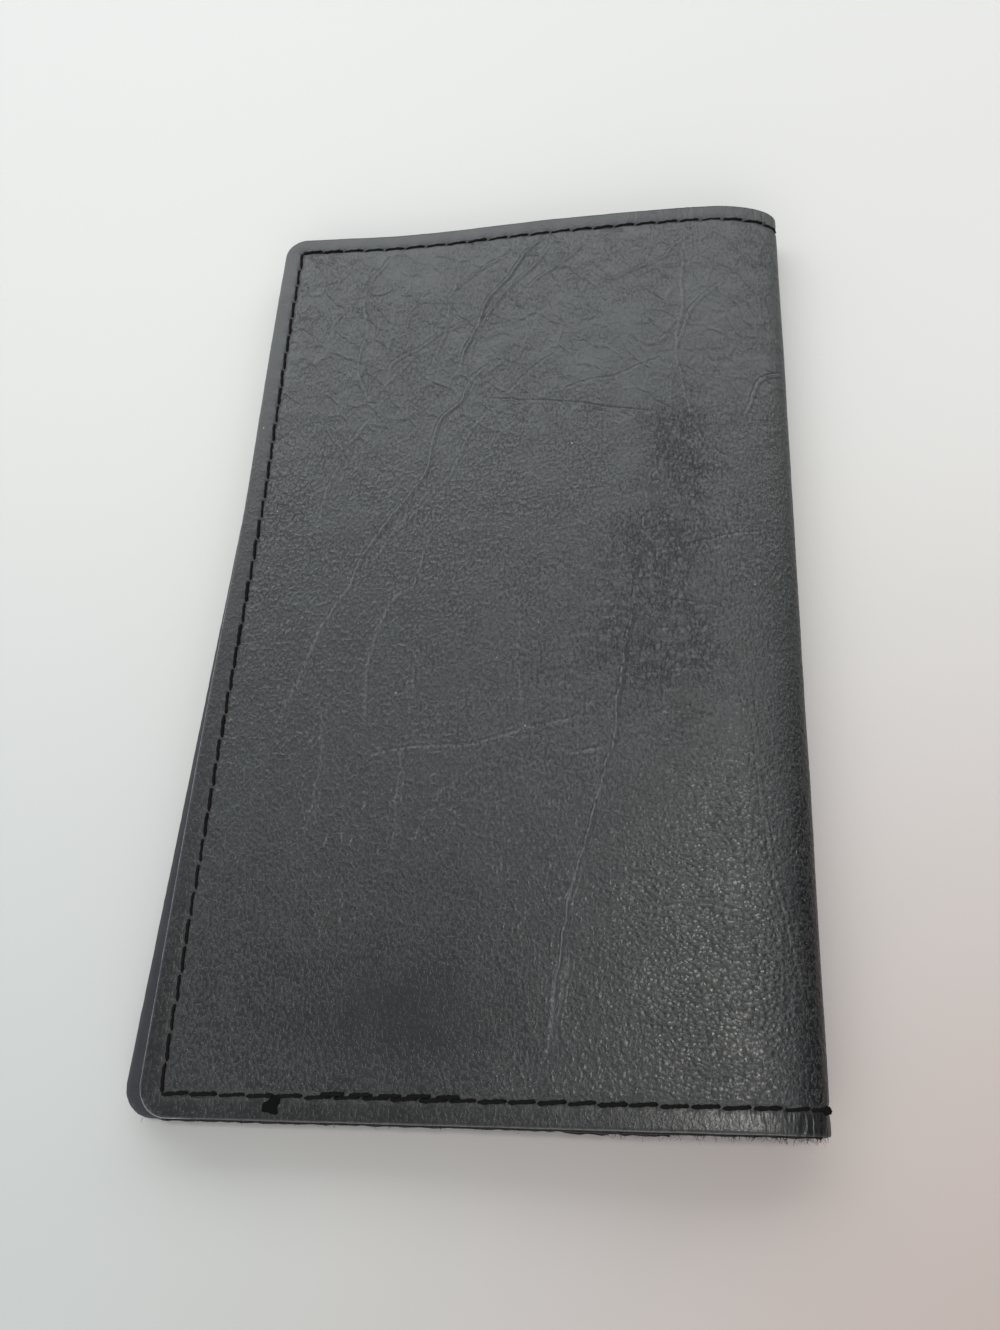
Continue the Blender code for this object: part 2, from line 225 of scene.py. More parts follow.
# %% Colours and nodes
def srgb(text):
    """A #rrggbb colour as the linear values that a shader takes."""
    values = [int(text[i : i + 2], 16) / 255 for i in (1, 3, 5)]
    return [v / 12.92 if v <= 0.04045 else ((v + 0.055) / 1.055) ** 2.4 for v in values]


def rgba(text):
    return (*srgb(text), 1.0)


def add(tree, kind, links=None, **settings):
    """A node with its settings. Its sockets get values, other sockets, or other nodes' results."""
    node = tree.nodes.new(kind)
    for key, value in settings.items():
        setattr(node, key, value)
    for socket, value in (links or {}).items():
        if isinstance(value, bpy.types.Node):
            value = next(output for output in value.outputs if output.enabled)
        if isinstance(value, bpy.types.NodeSocket):
            tree.links.new(value, node.inputs[socket])
        else:
            node.inputs[socket].default_value = value
    return node


def new_material(name):
    """A material, its node tree and its shader."""
    made = bpy.data.materials.new(name)
    made.use_nodes = True
    tree = made.node_tree
    shader = next(node for node in tree.nodes if node.type == "BSDF_PRINCIPLED")
    return made, tree, shader


def plug(tree, result, shader, socket):
    """Joins a node's first result, or a socket, to a socket of the shader."""
    if isinstance(result, bpy.types.Node):
        result = next(output for output in result.outputs if output.enabled)
    tree.links.new(result, shader.inputs[socket])


# %% The table
TABLE_REACH = 1.5
# Painted shade: the near corners, most of all the near right, are drawn duller than the far ones
TABLE_CORNERS = {
    "near left": "#a4aaaa",
    "near right": "#94837e",
    "far left": "#bbbcbb",
    "far right": "#b7b7b6",
}


def make_table():
    """A satin-painted sheet whose colour shifts a little from corner to corner, as painted shade."""
    work = bmesh.new()
    bmesh.ops.create_grid(work, x_segments=2, y_segments=2, size=TABLE_REACH)
    mesh = bpy.data.meshes.new("table")
    work.to_mesh(mesh)
    work.free()
    table = bpy.data.objects.new("table", mesh)
    bpy.context.scene.collection.objects.link(table)
    made, tree, shader = new_material("pale_table")
    colours = {name: rgba(text) for name, text in TABLE_CORNERS.items()}
    place = add(tree, "ShaderNodeTexCoord").outputs["Object"]
    split = add(tree, "ShaderNodeSeparateXYZ", {0: place}).outputs
    near_to_far = {0: split[1], 1: -0.12, 2: 0.05}
    left_to_right = {0: split[0], 1: -0.08, 2: 0.09}
    far = add(tree, "ShaderNodeMapRange", near_to_far, interpolation_type="SMOOTHSTEP")
    right = add(tree, "ShaderNodeMapRange", left_to_right, interpolation_type="SMOOTHSTEP")
    near_side = {0: right, 6: colours["near left"], 7: colours["near right"]}
    far_side = {0: right, 6: colours["far left"], 7: colours["far right"]}
    near = add(tree, "ShaderNodeMix", near_side, data_type="RGBA")
    away = add(tree, "ShaderNodeMix", far_side, data_type="RGBA")
    both = add(tree, "ShaderNodeMix", {0: far, 6: near, 7: away}, data_type="RGBA")
    plug(tree, both, shader, "Base Color")
    shader.inputs["Roughness"].default_value = 0.6
    mesh.materials.append(made)
    print(f"table: {2 * TABLE_REACH} m square")


make_table()

# %% The room and its lights
BRIGHT_SIDE = Vector((-0.62, -0.46, 0.28)).normalized()
BRIGHT_WALLS = (1.30, 1.35, 1.38, 1.0)
DIM_WALLS = (0.03, 0.03, 0.03, 1.0)
PHONE_SIDE = Vector((-0.30, -0.08, 0.95)).normalized()

# Each light's name, place, aim, width and length, all in metres, its watts and its colour
LIGHTS = [
    ("window", (-0.04, 0.62, 0.50), (0, 0.02, 0), (1.6, 0.46), 7.2, "#fafdfd"),
    ("doorway", (0.62, 0.50, 0.28), (0.03, 0.03, 0), (0.4, 0.3), 0.8, "#fffaf6"),
    ("near wall", (0.05, -0.60, 0.30), (0, -0.05, 0), (0.9, 0.35), 2.3, "#fff4ee"),
    ("lamp", (0.13, 0.0, 0.73), (0.03, -0.045, 0), (0.07, 0.11), 1.8, "#fffbf4"),
]


def area_light(name, place, target, size, power, colour):
    data = bpy.data.lights.new(name, "AREA")
    data.shape = "RECTANGLE"
    data.size, data.size_y = size
    data.energy = power
    data.color = srgb(colour)
    light = bpy.data.objects.new(name, data)
    bpy.context.scene.collection.objects.link(light)
    light.location = place
    direction = Vector(target) - Vector(place)
    light.rotation_mode = "QUATERNION"
    light.rotation_quaternion = direction.to_track_quat("-Z", "Y")


def make_room():
    """A soft surround that goes from bright to dim across the room, shaded by the phone above."""
    world = bpy.data.worlds.new("room")
    world.use_nodes = True
    tree = world.node_tree
    direction = add(tree, "ShaderNodeTexCoord").outputs["Generated"]
    facing = add(tree, "ShaderNodeVectorMath", {0: direction, 1: BRIGHT_SIDE}, operation="DOT_PRODUCT")
    across = {0: facing, 1: -0.75, 2: 0.75}
    share = add(tree, "ShaderNodeMapRange", across, interpolation_type="SMOOTHSTEP")
    colour = add(tree, "ShaderNodeMix", {0: share, 6: DIM_WALLS, 7: BRIGHT_WALLS}, data_type="RGBA")
    above = add(tree, "ShaderNodeVectorMath", {0: direction, 1: PHONE_SIDE}, operation="DOT_PRODUCT")
    shaded = {0: above, 1: 0.76, 2: 0.97, 3: 1.0, 4: 0.08}
    shade = add(tree, "ShaderNodeMapRange", shaded, interpolation_type="SMOOTHSTEP")
    background = tree.nodes["Background"]
    plug(tree, colour, background, "Color")
    plug(tree, shade, background, "Strength")
    bpy.context.scene.world = world


make_room()
for light in LIGHTS:
    area_light(*light)
bpy.context.scene.view_settings.view_transform = "Standard"
print("lights:", len(LIGHTS))

# %% [markdown]
# ## Cutting the layers
#
# Each layer of each half, from the middle of the fold or a panel's free edge to the open
# edge, starts as a flat grid. Planes trim its two outer corners to a round and cut its
# openings, more planes add loops where the seam presses into it, and an extrusion gives it
# thickness. A fine grid costs triangles, but the broad creases and the sunken seam are then
# real shape, seen in profile as well. The edges were cut by hand: the front's open edge bows
# in a little above its middle, and its top edge drops towards the open corner.

# %% Lines of the pattern
def soft_noise(x, y, size, seed):
    """Random hills of about the given size, from -1 to 1, for arrays of places."""
    table = np.random.default_rng(seed).uniform(-1, 1, (97, 97))
    across, up = x / size + 500.0, y / size + 500.0
    i, j = np.floor(across).astype(int), np.floor(up).astype(int)
    u, v = smooth(across - i), smooth(up - j)
    corner = [table[(i + di) % 97, (j + dj) % 97] for di in (0, 1) for dj in (0, 1)]
    low = corner[0] * (1 - v) + corner[1] * v
    high = corner[2] * (1 - v) + corner[3] * v
    return low * (1 - u) + high * u


def bell(value, centre, width):
    return np.exp(-(((value - centre) / width) ** 2))


def open_edge(side, y):
    """How far the open edge is from the middle of the fold, over y."""
    if side < 0:
        return FRONT_REACH - BOW_DEPTH * bell(y, BOW_MIDDLE, BOW_REACH)
    return BACK_REACH - (OVERHANG_BOTTOM - OVERHANG_TOP) * (y + TOP_Y) / HEIGHT


def end_line(side, a, y):
    """Distance of the nearer end, top or bottom, from the middle of the wallet's height."""
    if side > 0:
        return np.full_like(a, TOP_Y)
    return TOP_Y - DROP_DEPTH * smooth((a - DROP_START) / DROP_LENGTH) * (y > 0)


def corner_size(y, inset):
    return np.where(y > 0, TOP_CORNER, BOTTOM_CORNER) - inset


def inside(side, a, y, inset, radius):
    """Distance inward from a line round the three open sides, inset from the cut edge."""
    across = open_edge(side, y) - inset - a
    along = end_line(side, a, y) - inset - np.abs(y)
    near = np.minimum(across, along)
    corner = radius - np.hypot(np.maximum(radius - across, 0), np.maximum(radius - along, 0))
    return np.where((across < radius) & (along < radius), corner, near)


def hand_cut(side, a, y, reach):
    """Flat places moved from the straight pattern to the edges as they were really cut."""
    straight = FRONT_REACH if side < 0 else BACK_REACH
    at_open = smooth((a - reach + EDGE_BAND) / BAND_FADE)
    at_end = smooth((np.abs(y) - TOP_Y + EDGE_BAND) / BAND_FADE)
    moved = a + (open_edge(side, y) - straight) * at_open
    return moved, y + np.sign(y) * (end_line(side, moved, y) - TOP_Y) * at_end


# %% Openings
def arc(cx, cy, radius, first, last, steps=10):
    angles = np.linspace(first, last, steps + 1)
    return [(cx + radius * math.cos(t), cy + radius * math.sin(t)) for t in angles]


def rounded_rectangle(cx, cy, width, height, radius):
    points = []
    for i, (sx, sy) in enumerate(((1, 1), (-1, 1), (-1, -1), (1, -1))):
        x, y = cx + sx * (width / 2 - radius), cy + sy * (height / 2 - radius)
        points += arc(x, y, radius, i * math.pi / 2, (i + 1) * math.pi / 2)
    return points


def shield(cx):
    """A plain shield: square shoulders, straight sides and two arcs that meet in a point."""
    half, drop = BADGE_WIDTH / 2, BADGE_SHOULDER + BADGE_HEIGHT / 2
    radius = (half**2 + drop**2) / BADGE_WIDTH
    reach = math.asin(drop / radius)
    angles = np.linspace(0, reach, 15)
    low = [(half - radius + radius * math.cos(t), BADGE_SHOULDER - radius * math.sin(t)) for t in angles]
    top = BADGE_HEIGHT / 2
    shoulder = arc(half - BADGE_CORNER, top - BADGE_CORNER, BADGE_CORNER, math.pi / 2, 0)
    right = shoulder + low
    left = [(-x, y) for x, y in reversed(right)]
    return [(cx + x, y) for x, y in right + left[1:]]


def thumb_notch():
    half = NOTCH_WIDTH / 2
    radius = (half**2 + NOTCH_DEPTH**2) / (2 * NOTCH_DEPTH)
    reach = math.asin(half / radius)
    centre = FREE_EDGE - (radius - NOTCH_DEPTH)
    return arc(centre, 0.0, radius, -reach, reach, 16)


# %% Cutting a sheet
def slice_sheet(work, place, normal, near=None, reach=0.0, **choices):
    """One plane through the sheet, or only through its faces within reach of a place."""
    if near is None:
        pieces = work.verts[:] + work.edges[:] + work.faces[:]
    else:
        faces = [f for f in work.faces if (f.calc_center_median() - near).length < reach]
        verts = list({v for f in faces for v in f.verts})
        edges = list({e for f in faces for e in f.edges})
        pieces = verts + edges + faces
    bmesh.ops.bisect_plane(work, geom=pieces, dist=1e-6, plane_co=place, plane_no=normal, **choices)


def cut_opening(work, outline):
    """Cuts a convex opening: one plane for each side, near that side, and then the inside goes."""
    points = [Vector((x, y, 0)) for x, y in outline]
    centre = sum(points, Vector()) / len(points)
    sides = []
    for first, last in zip(points, points[1:] + points[:1]):
        along = last - first
        if along.length < 1e-7:
            continue
        normal = Vector((along.y, -along.x, 0)).normalized()
        slice_sheet(work, first, normal, (first + last) / 2, along.length / 2 + 1.5 * MM)
        sides.append((first, normal if (centre - first).dot(normal) < 0 else -normal))
    gone = []
    for face in work.faces:
        here = face.calc_center_median()
        if all((here - place).dot(normal) < 1e-7 for place, normal in sides):
            gone.append(face)
    bmesh.ops.delete(work, geom=gone, context="FACES")


def outline_gap(a, y, outline):
    """Distance of places from an opening's outline."""
    best = np.full(len(a), 1.0)
    for (x0, y0), (x1, y1) in zip(outline, outline[1:] + outline[:1]):
        dx, dy = x1 - x0, y1 - y0
        size = dx * dx + dy * dy
        if size > 1e-14:
            t = np.clip(((a - x0) * dx + (y - y0) * dy) / size, 0, 1)
            best = np.minimum(best, np.hypot(a - x0 - t * dx, y - y0 - t * dy))
    return best


# %% Flat sheets
RIM_CUTS = 3
CORNER_CUTS = 14
# The fold is round, so its middle gets closer columns, given in mm from the middle
FOLD_COLUMNS = (0.03, 0.08, 0.16, 0.28, 0.75, 1.25, 1.75, 2.25)


def trimmed_grid(start, reach, half_height, pitch, radii, insets):
    """A flat grid with two round corners at its far end, and loops at insets from its sides."""
    work = bmesh.new()
    columns = round((reach - start) / pitch)
    rows = round(2 * half_height / pitch)
    bmesh.ops.create_grid(work, x_segments=columns, y_segments=rows, size=0.5)
    bmesh.ops.scale(work, verts=work.verts, vec=(reach - start, 2 * half_height, 1))
    bmesh.ops.translate(work, verts=work.verts, vec=((reach + start) / 2, 0, 0))
    for inset in insets:
        for up in (-1, 1):
            slice_sheet(work, (0, up * (half_height - inset), 0), (0, 1, 0))
        slice_sheet(work, (reach - inset, 0, 0), (1, 0, 0))
    if start == 0:
        for column in FOLD_COLUMNS:
            slice_sheet(work, (column * MM, 0, 0), (1, 0, 0))
    for up, radius in zip((-1, 1), radii):
        centre = Vector((reach - radius, up * (half_height - radius), 0))
        for cut in range(1, CORNER_CUTS):
            angle = math.pi / 2 * cut / CORNER_CUTS
            normal = Vector((math.cos(angle), up * math.sin(angle), 0))
            slice_sheet(work, centre + normal * radius, normal, centre, 3 * radius, clear_outer=True)
    return work


def thicken(work, thickness, cuts):
    """Gives a flat grid its thickness downwards, with loops round its rim."""
    made = bmesh.ops.extrude_face_region(work, geom=work.faces[:])
    lower = [v for v in made["geom"] if isinstance(v, bmesh.types.BMVert)]
    bmesh.ops.translate(work, verts=lower, vec=(0, 0, -thickness))
    upright = [e for e in work.edges if abs(e.verts[0].co.z - e.verts[1].co.z) > thickness / 2]
    bmesh.ops.subdivide_edges(work, edges=upright, cuts=cuts, use_grid_fill=True)


def finished_piece(work, name, points, materials, attributes=None, finishes=None, rim=None):
    """The worked mesh as an object: points moved, normals out, smooth, with its attributes."""
    for vert, point in zip(work.verts, points):
        vert.co = point
    if rim is not None:
        for edge in work.edges:
            first, last = (rim[v.index] for v in edge.verts)
            edge.smooth = not (first > 0 and first == last)
    bmesh.ops.recalc_face_normals(work, faces=work.faces)
    mesh = bpy.data.meshes.new(name)
    work.to_mesh(mesh)
    work.free()
    for label, values in (attributes or {}).items():
        stored = mesh.attributes.new(label, "FLOAT_VECTOR", "POINT")
        stored.data.foreach_set("vector", values.astype(np.float32).ravel())
    for material in materials:
        mesh.materials.append(material)
    if finishes is not None:
        mesh.polygons.foreach_set("material_index", finishes.astype(np.int32))
    mesh.polygons.foreach_set("use_smooth", np.ones(len(mesh.polygons), bool))
    mesh.update()
    piece = bpy.data.objects.new(name, mesh)
    bpy.context.scene.collection.objects.link(piece)
    return piece


# %% [markdown]
# ## Creases
#
# The cover has been bent and carried for years. Long creases wander down it from the top
# seam, cross ones spread from the fold, and near the fold the grain is broken. Each crease is
# a listed line in millimetres, y up from the wallet's middle and x to the right of a
# place 40 mm left of the fold. The mesh holds the soft valley along a crease, and the
# material draws the sharp part: a thin ridge between two dips, with a painted highlight on
# top and a painted shadow on one side. For that the mesh carries the signed distance to the
# line, which a coarse grid stores well, as it would not store a line thinner than the grid.
# Lines that cross are in different sets.

# %% Crease lines
# Each is its set, its depth from 0 to 1, and its points.
CREASES = [
    (0, 1.0, [(5.6, 60.2), (4.1, 59.6), (0.9, 56.1), (-0.9, 52.5), (-3, 49.9), (-3.9, 47.1), (-5, 43.6),
              (-6.6, 40), (-6.8, 36.8), (-6.4, 34.1)]),
    (1, 0.7, [(5.9, 58.6), (3.2, 54.3), (0.1, 51.4), (-2.6, 47.9), (-4.3, 44.3), (-5, 41.4)]),
    (0, 0.8, [(-2.3, 37.5), (-4.8, 34.3), (-6.2, 31.1), (-8.6, 28.2), (-9.6, 25), (-10.3, 20.7),
              (-11.2, 17.5), (-13.4, 13.6), (-16.6, 8.6), (-18.7, 4.3), (-20.1, 0.4), (-22.6, -5),
              (-23.7, -9.3), (-25.1, -12.9), (-27.3, -19.3)]),
    (1, 0.6, [(-1.9, 28.6), (-4.4, 25.4), (-5.9, 22.1), (-7.3, 18.2), (-9.8, 14.3), (-12.9, 11.1),
              (-15.3, 7.5), (-17.6, 4.3)]),
    (2, 0.5, [(-8.4, 11.1), (-9.8, 6.4), (-10.5, 1.4), (-13.4, 0), (-15.1, -5.7), (-15.7, -12.1),
              (-15.3, -17.1), (-14.8, -21.4)]),
    (1, 0.5, [(-19.6, 28.4), (-21.7, 25.1), (-23.2, 20.7), (-24.2, 16.4), (-24.6, 12.1), (-24.4, 7.9)]),
    (0, 0.5, [(-19.1, 58.9), (-20.5, 56.3), (-22.1, 54.3), (-22.5, 49.3), (-21.4, 44.3), (-22.3, 38.6),
              (-21, 34.3), (-19.3, 30)]),
    (2, 0.5, [(-0.1, 57.9), (-5.9, 54.3), (-9.4, 51.1), (-9.4, 44.3), (-10.5, 40), (-10.9, 34.3)]),
    (3, 0.5, [(-4.4, 46.4), (-9.4, 43.6), (-13.4, 40.4), (-17.3, 38.2), (-18, 35)]),
    (3, 0.6, [(11.3, 58.6), (8.4, 55), (3.8, 52.1), (2, 49.6)]),
    (0, 0.5, [(27.4, 58.9), (24.9, 56.8), (22.4, 53.9), (16.3, 51.1), (10.6, 49.6)]),
    (1, 0.5, [(25.9, 57.1), (25.6, 50.7), (25.2, 43.6), (24.1, 35)]),
    (2, 0.5, [(32.4, 49.6), (26.6, 44.6), (24.7, 37.5), (25.2, 30.7), (26.5, 26.1), (26.6, 22.1)]),
    (3, 0.6, [(-2.3, 30.7), (4.9, 29.6), (12, 28.6), (17.7, 27.1), (23.4, 26.4)]),
    (0, 0.4, [(8.4, 31.4), (15.6, 33.2), (22.7, 36.1)]),
    (2, 0.4, [(0.2, 31.4), (4.9, 36.1), (7.7, 38.2)]),
    (0, 0.6, [(39.5, 34.3), (36.3, 31.8), (33.4, 25)]),
    (1, 0.6, [(22.7, 18.9), (20.6, 14.3), (19.9, 10), (20.7, 5.7)]),
    (3, 0.7, [(21.6, 4.3), (26.3, 5.7), (30.9, 7.1), (36, 7.6)]),
    (3, 0.5, [(26.3, 25), (29.1, 20.7), (32.4, 17.9)]),
    (2, 0.5, [(29.5, 10.7), (33.4, 0.4)]),
    (0, 1.0, [(20.4, 3.6), (19.1, 0), (18.4, -4.3), (17.4, -10), (17.1, -14.3), (16.6, -20), (15.2, -26.4),
              (13.8, -31.4), (12, -38.6), (11.3, -42.9), (10, -50), (10, -55), (8.8, -59.6)]),
    (1, 0.6, [(12, -45.7), (11.4, -50), (10.6, -54.3)]),
    (1, 0.4, [(3.6, 0), (4.1, -5.7), (4.6, -12.9), (4.9, -16.8)]),
    (3, 0.4, [(-15.9, -22.5), (-9.4, -21.1), (-0.1, -20.7), (4.9, -18.9), (12, -17.9), (14.9, -13.9),
              (17.4, -13.2)]),
    (2, 0.5, [(11.3, -22.1), (15.9, -21.4)]),
    (0, 0.3, [(-9.4, -4.3), (-9.4, -14.3), (-9.8, -23.6), (-9.8, -31.4), (-11.2, -40)]),
    (1, 0.3, [(-20.5, -13.6), (-20.1, -24.3), (-21.2, -34.3)]),
    (3, 0.6, [(20.8, -2.9), (24.5, -2.2), (29.4, -3.1)]),
    (3, 0.5, [(21.6, -5.9), (26, -6.3), (30.3, -5.2)]),
    (3, 0.5, [(21.1, -8.2), (25, -8.9), (29.6, -8.4)]),
    (3, 0.4, [(21.9, -12), (26.1, -11.4), (30, -12.6)]),
    (3, 0.4, [(20.4, -17.5), (25, -16.8), (29.1, -17.9)]),
    (2, 0.35, [(30.9, -8.6), (32.7, -12.1), (33.4, -20), (34.1, -30), (34.9, -35.7), (36.3, -42.1),
              (37.4, -47.1), (37.7, -52.9)]),
    (3, 0.5, [(22.7, -40.7), (27.7, -40), (33.4, -41.4)]),
    (3, 0.4, [(31.3, -33.6), (34.1, -35.7)]),
    (1, 0.4, [(26.3, -50), (27.4, -60)]),
]
CREASE_ORIGIN = FOLD_X / MM - 40.03
print(f"{len(CREASES)} creases")

# %% Distances to the creases
LINE_REACH = 2.4
LINE_STEP = 0.35
SMOOTHING_ROUNDS = 12
# Places are compared with a line in blocks, which keeps the memory small
BLOCK = 4000


def wandering_line(points, seed):
    """A crease's points, closer together and a little unsteady, in mm."""
    points = np.array(points, float)
    steps = np.hypot(*np.diff(points, axis=0).T)
    at = np.concatenate(([0], np.cumsum(steps)))
    fine = np.linspace(0, at[-1], max(8, int(at[-1] / LINE_STEP)))
    line = np.stack([np.interp(fine, at, points[:, i]) for i in (0, 1)], axis=1)
    for _ in range(SMOOTHING_ROUNDS):
        line[1:-1] = (line[:-2] + 2 * line[1:-1] + line[2:]) / 4
    wobble = soft_noise(fine, fine * 0 + seed, 1.6, seed) * 0.12
    wobble += soft_noise(fine, fine * 0, 4.0, seed + 40) * 0.3
    across = np.gradient(line, axis=0)[:, ::-1] * (-1, 1)
    return line + across / np.hypot(*across.T)[:, None] * wobble[:, None]


def crease_distances(x, y):
    """For each of four sets, the signed distance in mm to its nearest crease, and its depth there."""
    distance = np.full((4, len(x)), LINE_REACH)
    depth = np.zeros((4, len(x)))
    for seed, (group, strength, points) in enumerate(CREASES):
        line = wandering_line(points, seed)
        low, high = line.min(axis=0) - LINE_REACH, line.max(axis=0) + LINE_REACH
        near = np.flatnonzero((x > low[0]) & (x < high[0]) & (y > low[1]) & (y < high[1]))
        run = np.linspace(0, 1, len(line))
        taper = np.clip(run / 0.12, 0, 1) * np.clip((1 - run) / 0.2, 0, 1)
        taper *= 0.7 + 0.3 * soft_noise(run * 30, run * 0, 2.0, seed + 90)
        heading = np.gradient(line, axis=0)
        heading /= np.hypot(*heading.T)[:, None]
        for block in np.array_split(near, max(1, len(near) // BLOCK)):
            gap = np.stack((x[block], y[block]), axis=1)[:, None, :] - line[None]
            pick = np.argmin((gap**2).sum(axis=2), axis=1)
            way = gap[np.arange(len(block)), pick]
            side = heading[pick, 0] * way[:, 1] - heading[pick, 1] * way[:, 0]
            far = np.hypot(*way.T)
            at_tip = (pick == 0) | (pick == len(line) - 1)
            beyond = at_tip & (np.abs((heading[pick] * way).sum(axis=1)) > 0.3)
            signed = np.where(side < 0, -1, 1) * np.minimum(far, LINE_REACH)
            take = np.abs(signed) < np.abs(distance[group, block])
            distance[group, block[take]] = signed[take]
            near_by = 1 - smooth((far - 1.05) / 0.4)
            depth[group, block[take]] = (strength * taper[pick] * ~beyond * near_by)[take]
    return distance, depth


# %% [markdown]
# ## The worn face of the leather
#
# The grain side isn't flat: it turns down at the cut edge, is drawn in along the seam and
# pinched at each stitch hole, and dips along the creases. How the grain looks depends on
# where it is: coarse glossy pebble low by the fold, broken grain higher up along it, veins
# on the pale top, a calm patch at the lower left, and a plain margin outside the seam. The
# film is painted darker as shade on the fold's low side, over the lower left and on the
# margin below the top. These amounts are worked out here for each point of the mesh, and the
# material reads them.

# %% The seam's holes
SEAM_STATIONS = 41


def seam_path(side):
    """The seam in the pattern, from the fold along the bottom, up the open side and back.

    Gives its points, and how many stitches have gone by at each. A hole is in each corner."""
    share = np.linspace(0, 1, SEAM_STATIONS)
    rows = (2 * share - 1) * (TOP_Y - SEAM_INSET)
    up = np.stack((open_edge(side, rows) - SEAM_INSET, rows), axis=1)
    low = np.stack((up[0, 0] * share, np.full(SEAM_STATIONS, rows[0])), axis=1)
    back = up[-1, 0] * share[::-1]
    high = np.stack((back, end_line(side, back, back * 0 + 1) - SEAM_INSET), axis=1)
    up[-1] = high[0]
    counts, gone_by = [], 0
    for stretch in (low, up, high):
        at = np.concatenate(([0], np.cumsum(np.hypot(*np.diff(stretch, axis=0).T))))
        stitches = round(at[-1] / STITCH)
        counts.append(gone_by + at / at[-1] * stitches)
        gone_by += stitches
    points = np.concatenate((low, up[1:], high[1:]))
    return points, np.concatenate((counts[0], counts[1][1:], counts[2][1:]))


def run_along(path, at, a, y):
    """How many stitches along the path its nearest place is, for arrays of points."""
    best = np.full(len(a), 1e9)
    run = np.zeros(len(a))
    for i in range(len(path) - 1):
        p, d = path[i], path[i + 1] - path[i]
        t = np.clip(((a - p[0]) * d[0] + (y - p[1]) * d[1]) / (d @ d), 0, 1)
        far = np.hypot(a - p[0] - t * d[0], y - p[1] - t * d[1])
        take = far < best
        best[take] = far[take]
        run[take] = (at[i] + t * (at[i + 1] - at[i]))[take]
    return run


# %% Amounts of grain, veins, wear and gloss
# Soft round patches: each is its weight, its centre, and its reach across and up, in mm
COARSE_PATCHES = [(1.0, 30, -50, 9, 15), (0.75, 30, -27, 8, 15), (0.5, 20, -42, 9, 14)]
WORN_PATCHES = [(1.0, 25, 20, 4.5, 9), (0.9, 20.5, 3, 6.5, 9), (0.75, 24, -9, 8, 8), (0.3, 12, -12, 17, 18)]
CALM_PATCHES = [(0.95, -8, -52, 15, 8.5)]
DIM_PATCHES = [(1.0, -12, -52, 26, 17)]


def patched(x, y, spots):
    """The sum of soft round patches, at places in mm."""
    total = 0.0
    for weight, cx, cy, rx, ry in spots:
        total = total + weight * np.exp(-(((x - cx) / rx) ** 2) - ((y - cy) / ry) ** 2)
    return total


def face_amounts(x, y, margin):
    """Amounts of grain, veins, wear, roughness, puckers and painted shade, at places in mm."""
    cloud = soft_noise(x, y, 6.0, 5)
    fleck = soft_noise(x, y, 2.5, 6)
    calm = np.clip(patched(x, y, CALM_PATCHES) + 0.25 * cloud, 0, 1)
    dim = patched(x, y, DIM_PATCHES)
    top = smooth((y - 12) / 26)
    coarse = np.clip(patched(x, y, COARSE_PATCHES) * (1 + 0.35 * cloud + 0.3 * fleck), 0, 1)
    wear = np.clip(patched(x, y, WORN_PATCHES) * (1 + 0.25 * cloud + 0.35 * fleck), 0, 0.9)
    outside = 1 - smooth((margin + 0.1) / 0.5)
    kept = 1 - outside
    fine = (0.80 - 0.45 * top + 0.20 * fleck + 0.20 * cloud) * (1 - 0.85 * calm) * (1 - 0.3 * dim)
    fine *= 1 - 0.6 * coarse
    fine = np.clip(fine, 0, 1.2) * (0.35 + 0.65 * kept)
    veins = (0.30 + 0.70 * top) * (1 - 0.9 * calm) * kept * (1 + 0.4 * cloud)
    from_fold = FOLD_X / MM - CREASE_ORIGIN - x
    low_side = smooth((4.5 - from_fold) / 4) * smooth((15 - y) / 50)
    rough = 0.38 + 0.04 * top + 0.04 * wear + 0.02 * fleck
    rough -= 0.10 * coarse + 0.08 * low_side
    # painted shade: the film is drawn darker on the fold's low side, over the dim patch at the lower left,
    # and on the margin below the top
    shade = np.clip(low_side + 0.7 * dim + 0.5 * outside * (1 - top), 0, 1)
    puckers = outside * smooth((np.where(y > 0, 27.0, 12.0) - from_fold) / 8)
    return fine, coarse * kept, np.clip(veins, 0, 1.2), wear * kept, rough, puckers, shade


# %% Height of the grain face
def front_x(a):
    """Crease x of a place on the front, in mm, from its distance from the fold's middle."""
    return np.interp(-a, PROFILE[: MIDDLE + 1, 0], PROFILE[: MIDDLE + 1, 1]) / MM - CREASE_ORIGIN


def face_height(side, a, y, seam_gap, seam_run, edge_gap, creases):
    """Height of the grain face over the plain profile, in mm, with all distances in mm."""
    height = -0.11 * bell(np.maximum(edge_gap, 0), 0, 0.14)
    pull = bell(seam_gap, 0, 0.40)
    wide = bell(seam_gap, 0, 1.0)
    beat = np.cos(2 * math.pi * seam_run)
    height += -0.15 * pull - 0.03 * wide - 0.06 * pull * beat - 0.02 * wide * beat
    distance, depth = creases
    for gap, strength in zip(distance, depth):
        height -= 0.03 * strength * bell(gap, 0, 0.65)
    height += 0.05 * soft_noise(a, y, 13.0, 2) + 0.02 * soft_noise(a * 1.4, y, 4.0, 3)
    small = 0.012 * soft_noise(a, y * 0.8, 1.9, 4) + 0.007 * soft_noise(a, y, 1.2, 7)
    height += small * smooth(seam_gap / 0.8)
    if side < 0:
        return np.minimum(height, 0.06)
    on_table = smooth((a - 2) / 6)
    return np.where(a > 8, np.minimum(height - 0.06, 0.0), height - 0.06 * on_table)


# %% [markdown]
# ## One function for every layer
#
# A layer is its side, its depth and thickness, where it starts and how far it is inset from
# the cut edge, its openings, and the face that is seen. The outer leather is seen from
# outside and the panels from inside, and the seam presses into whichever face is seen.

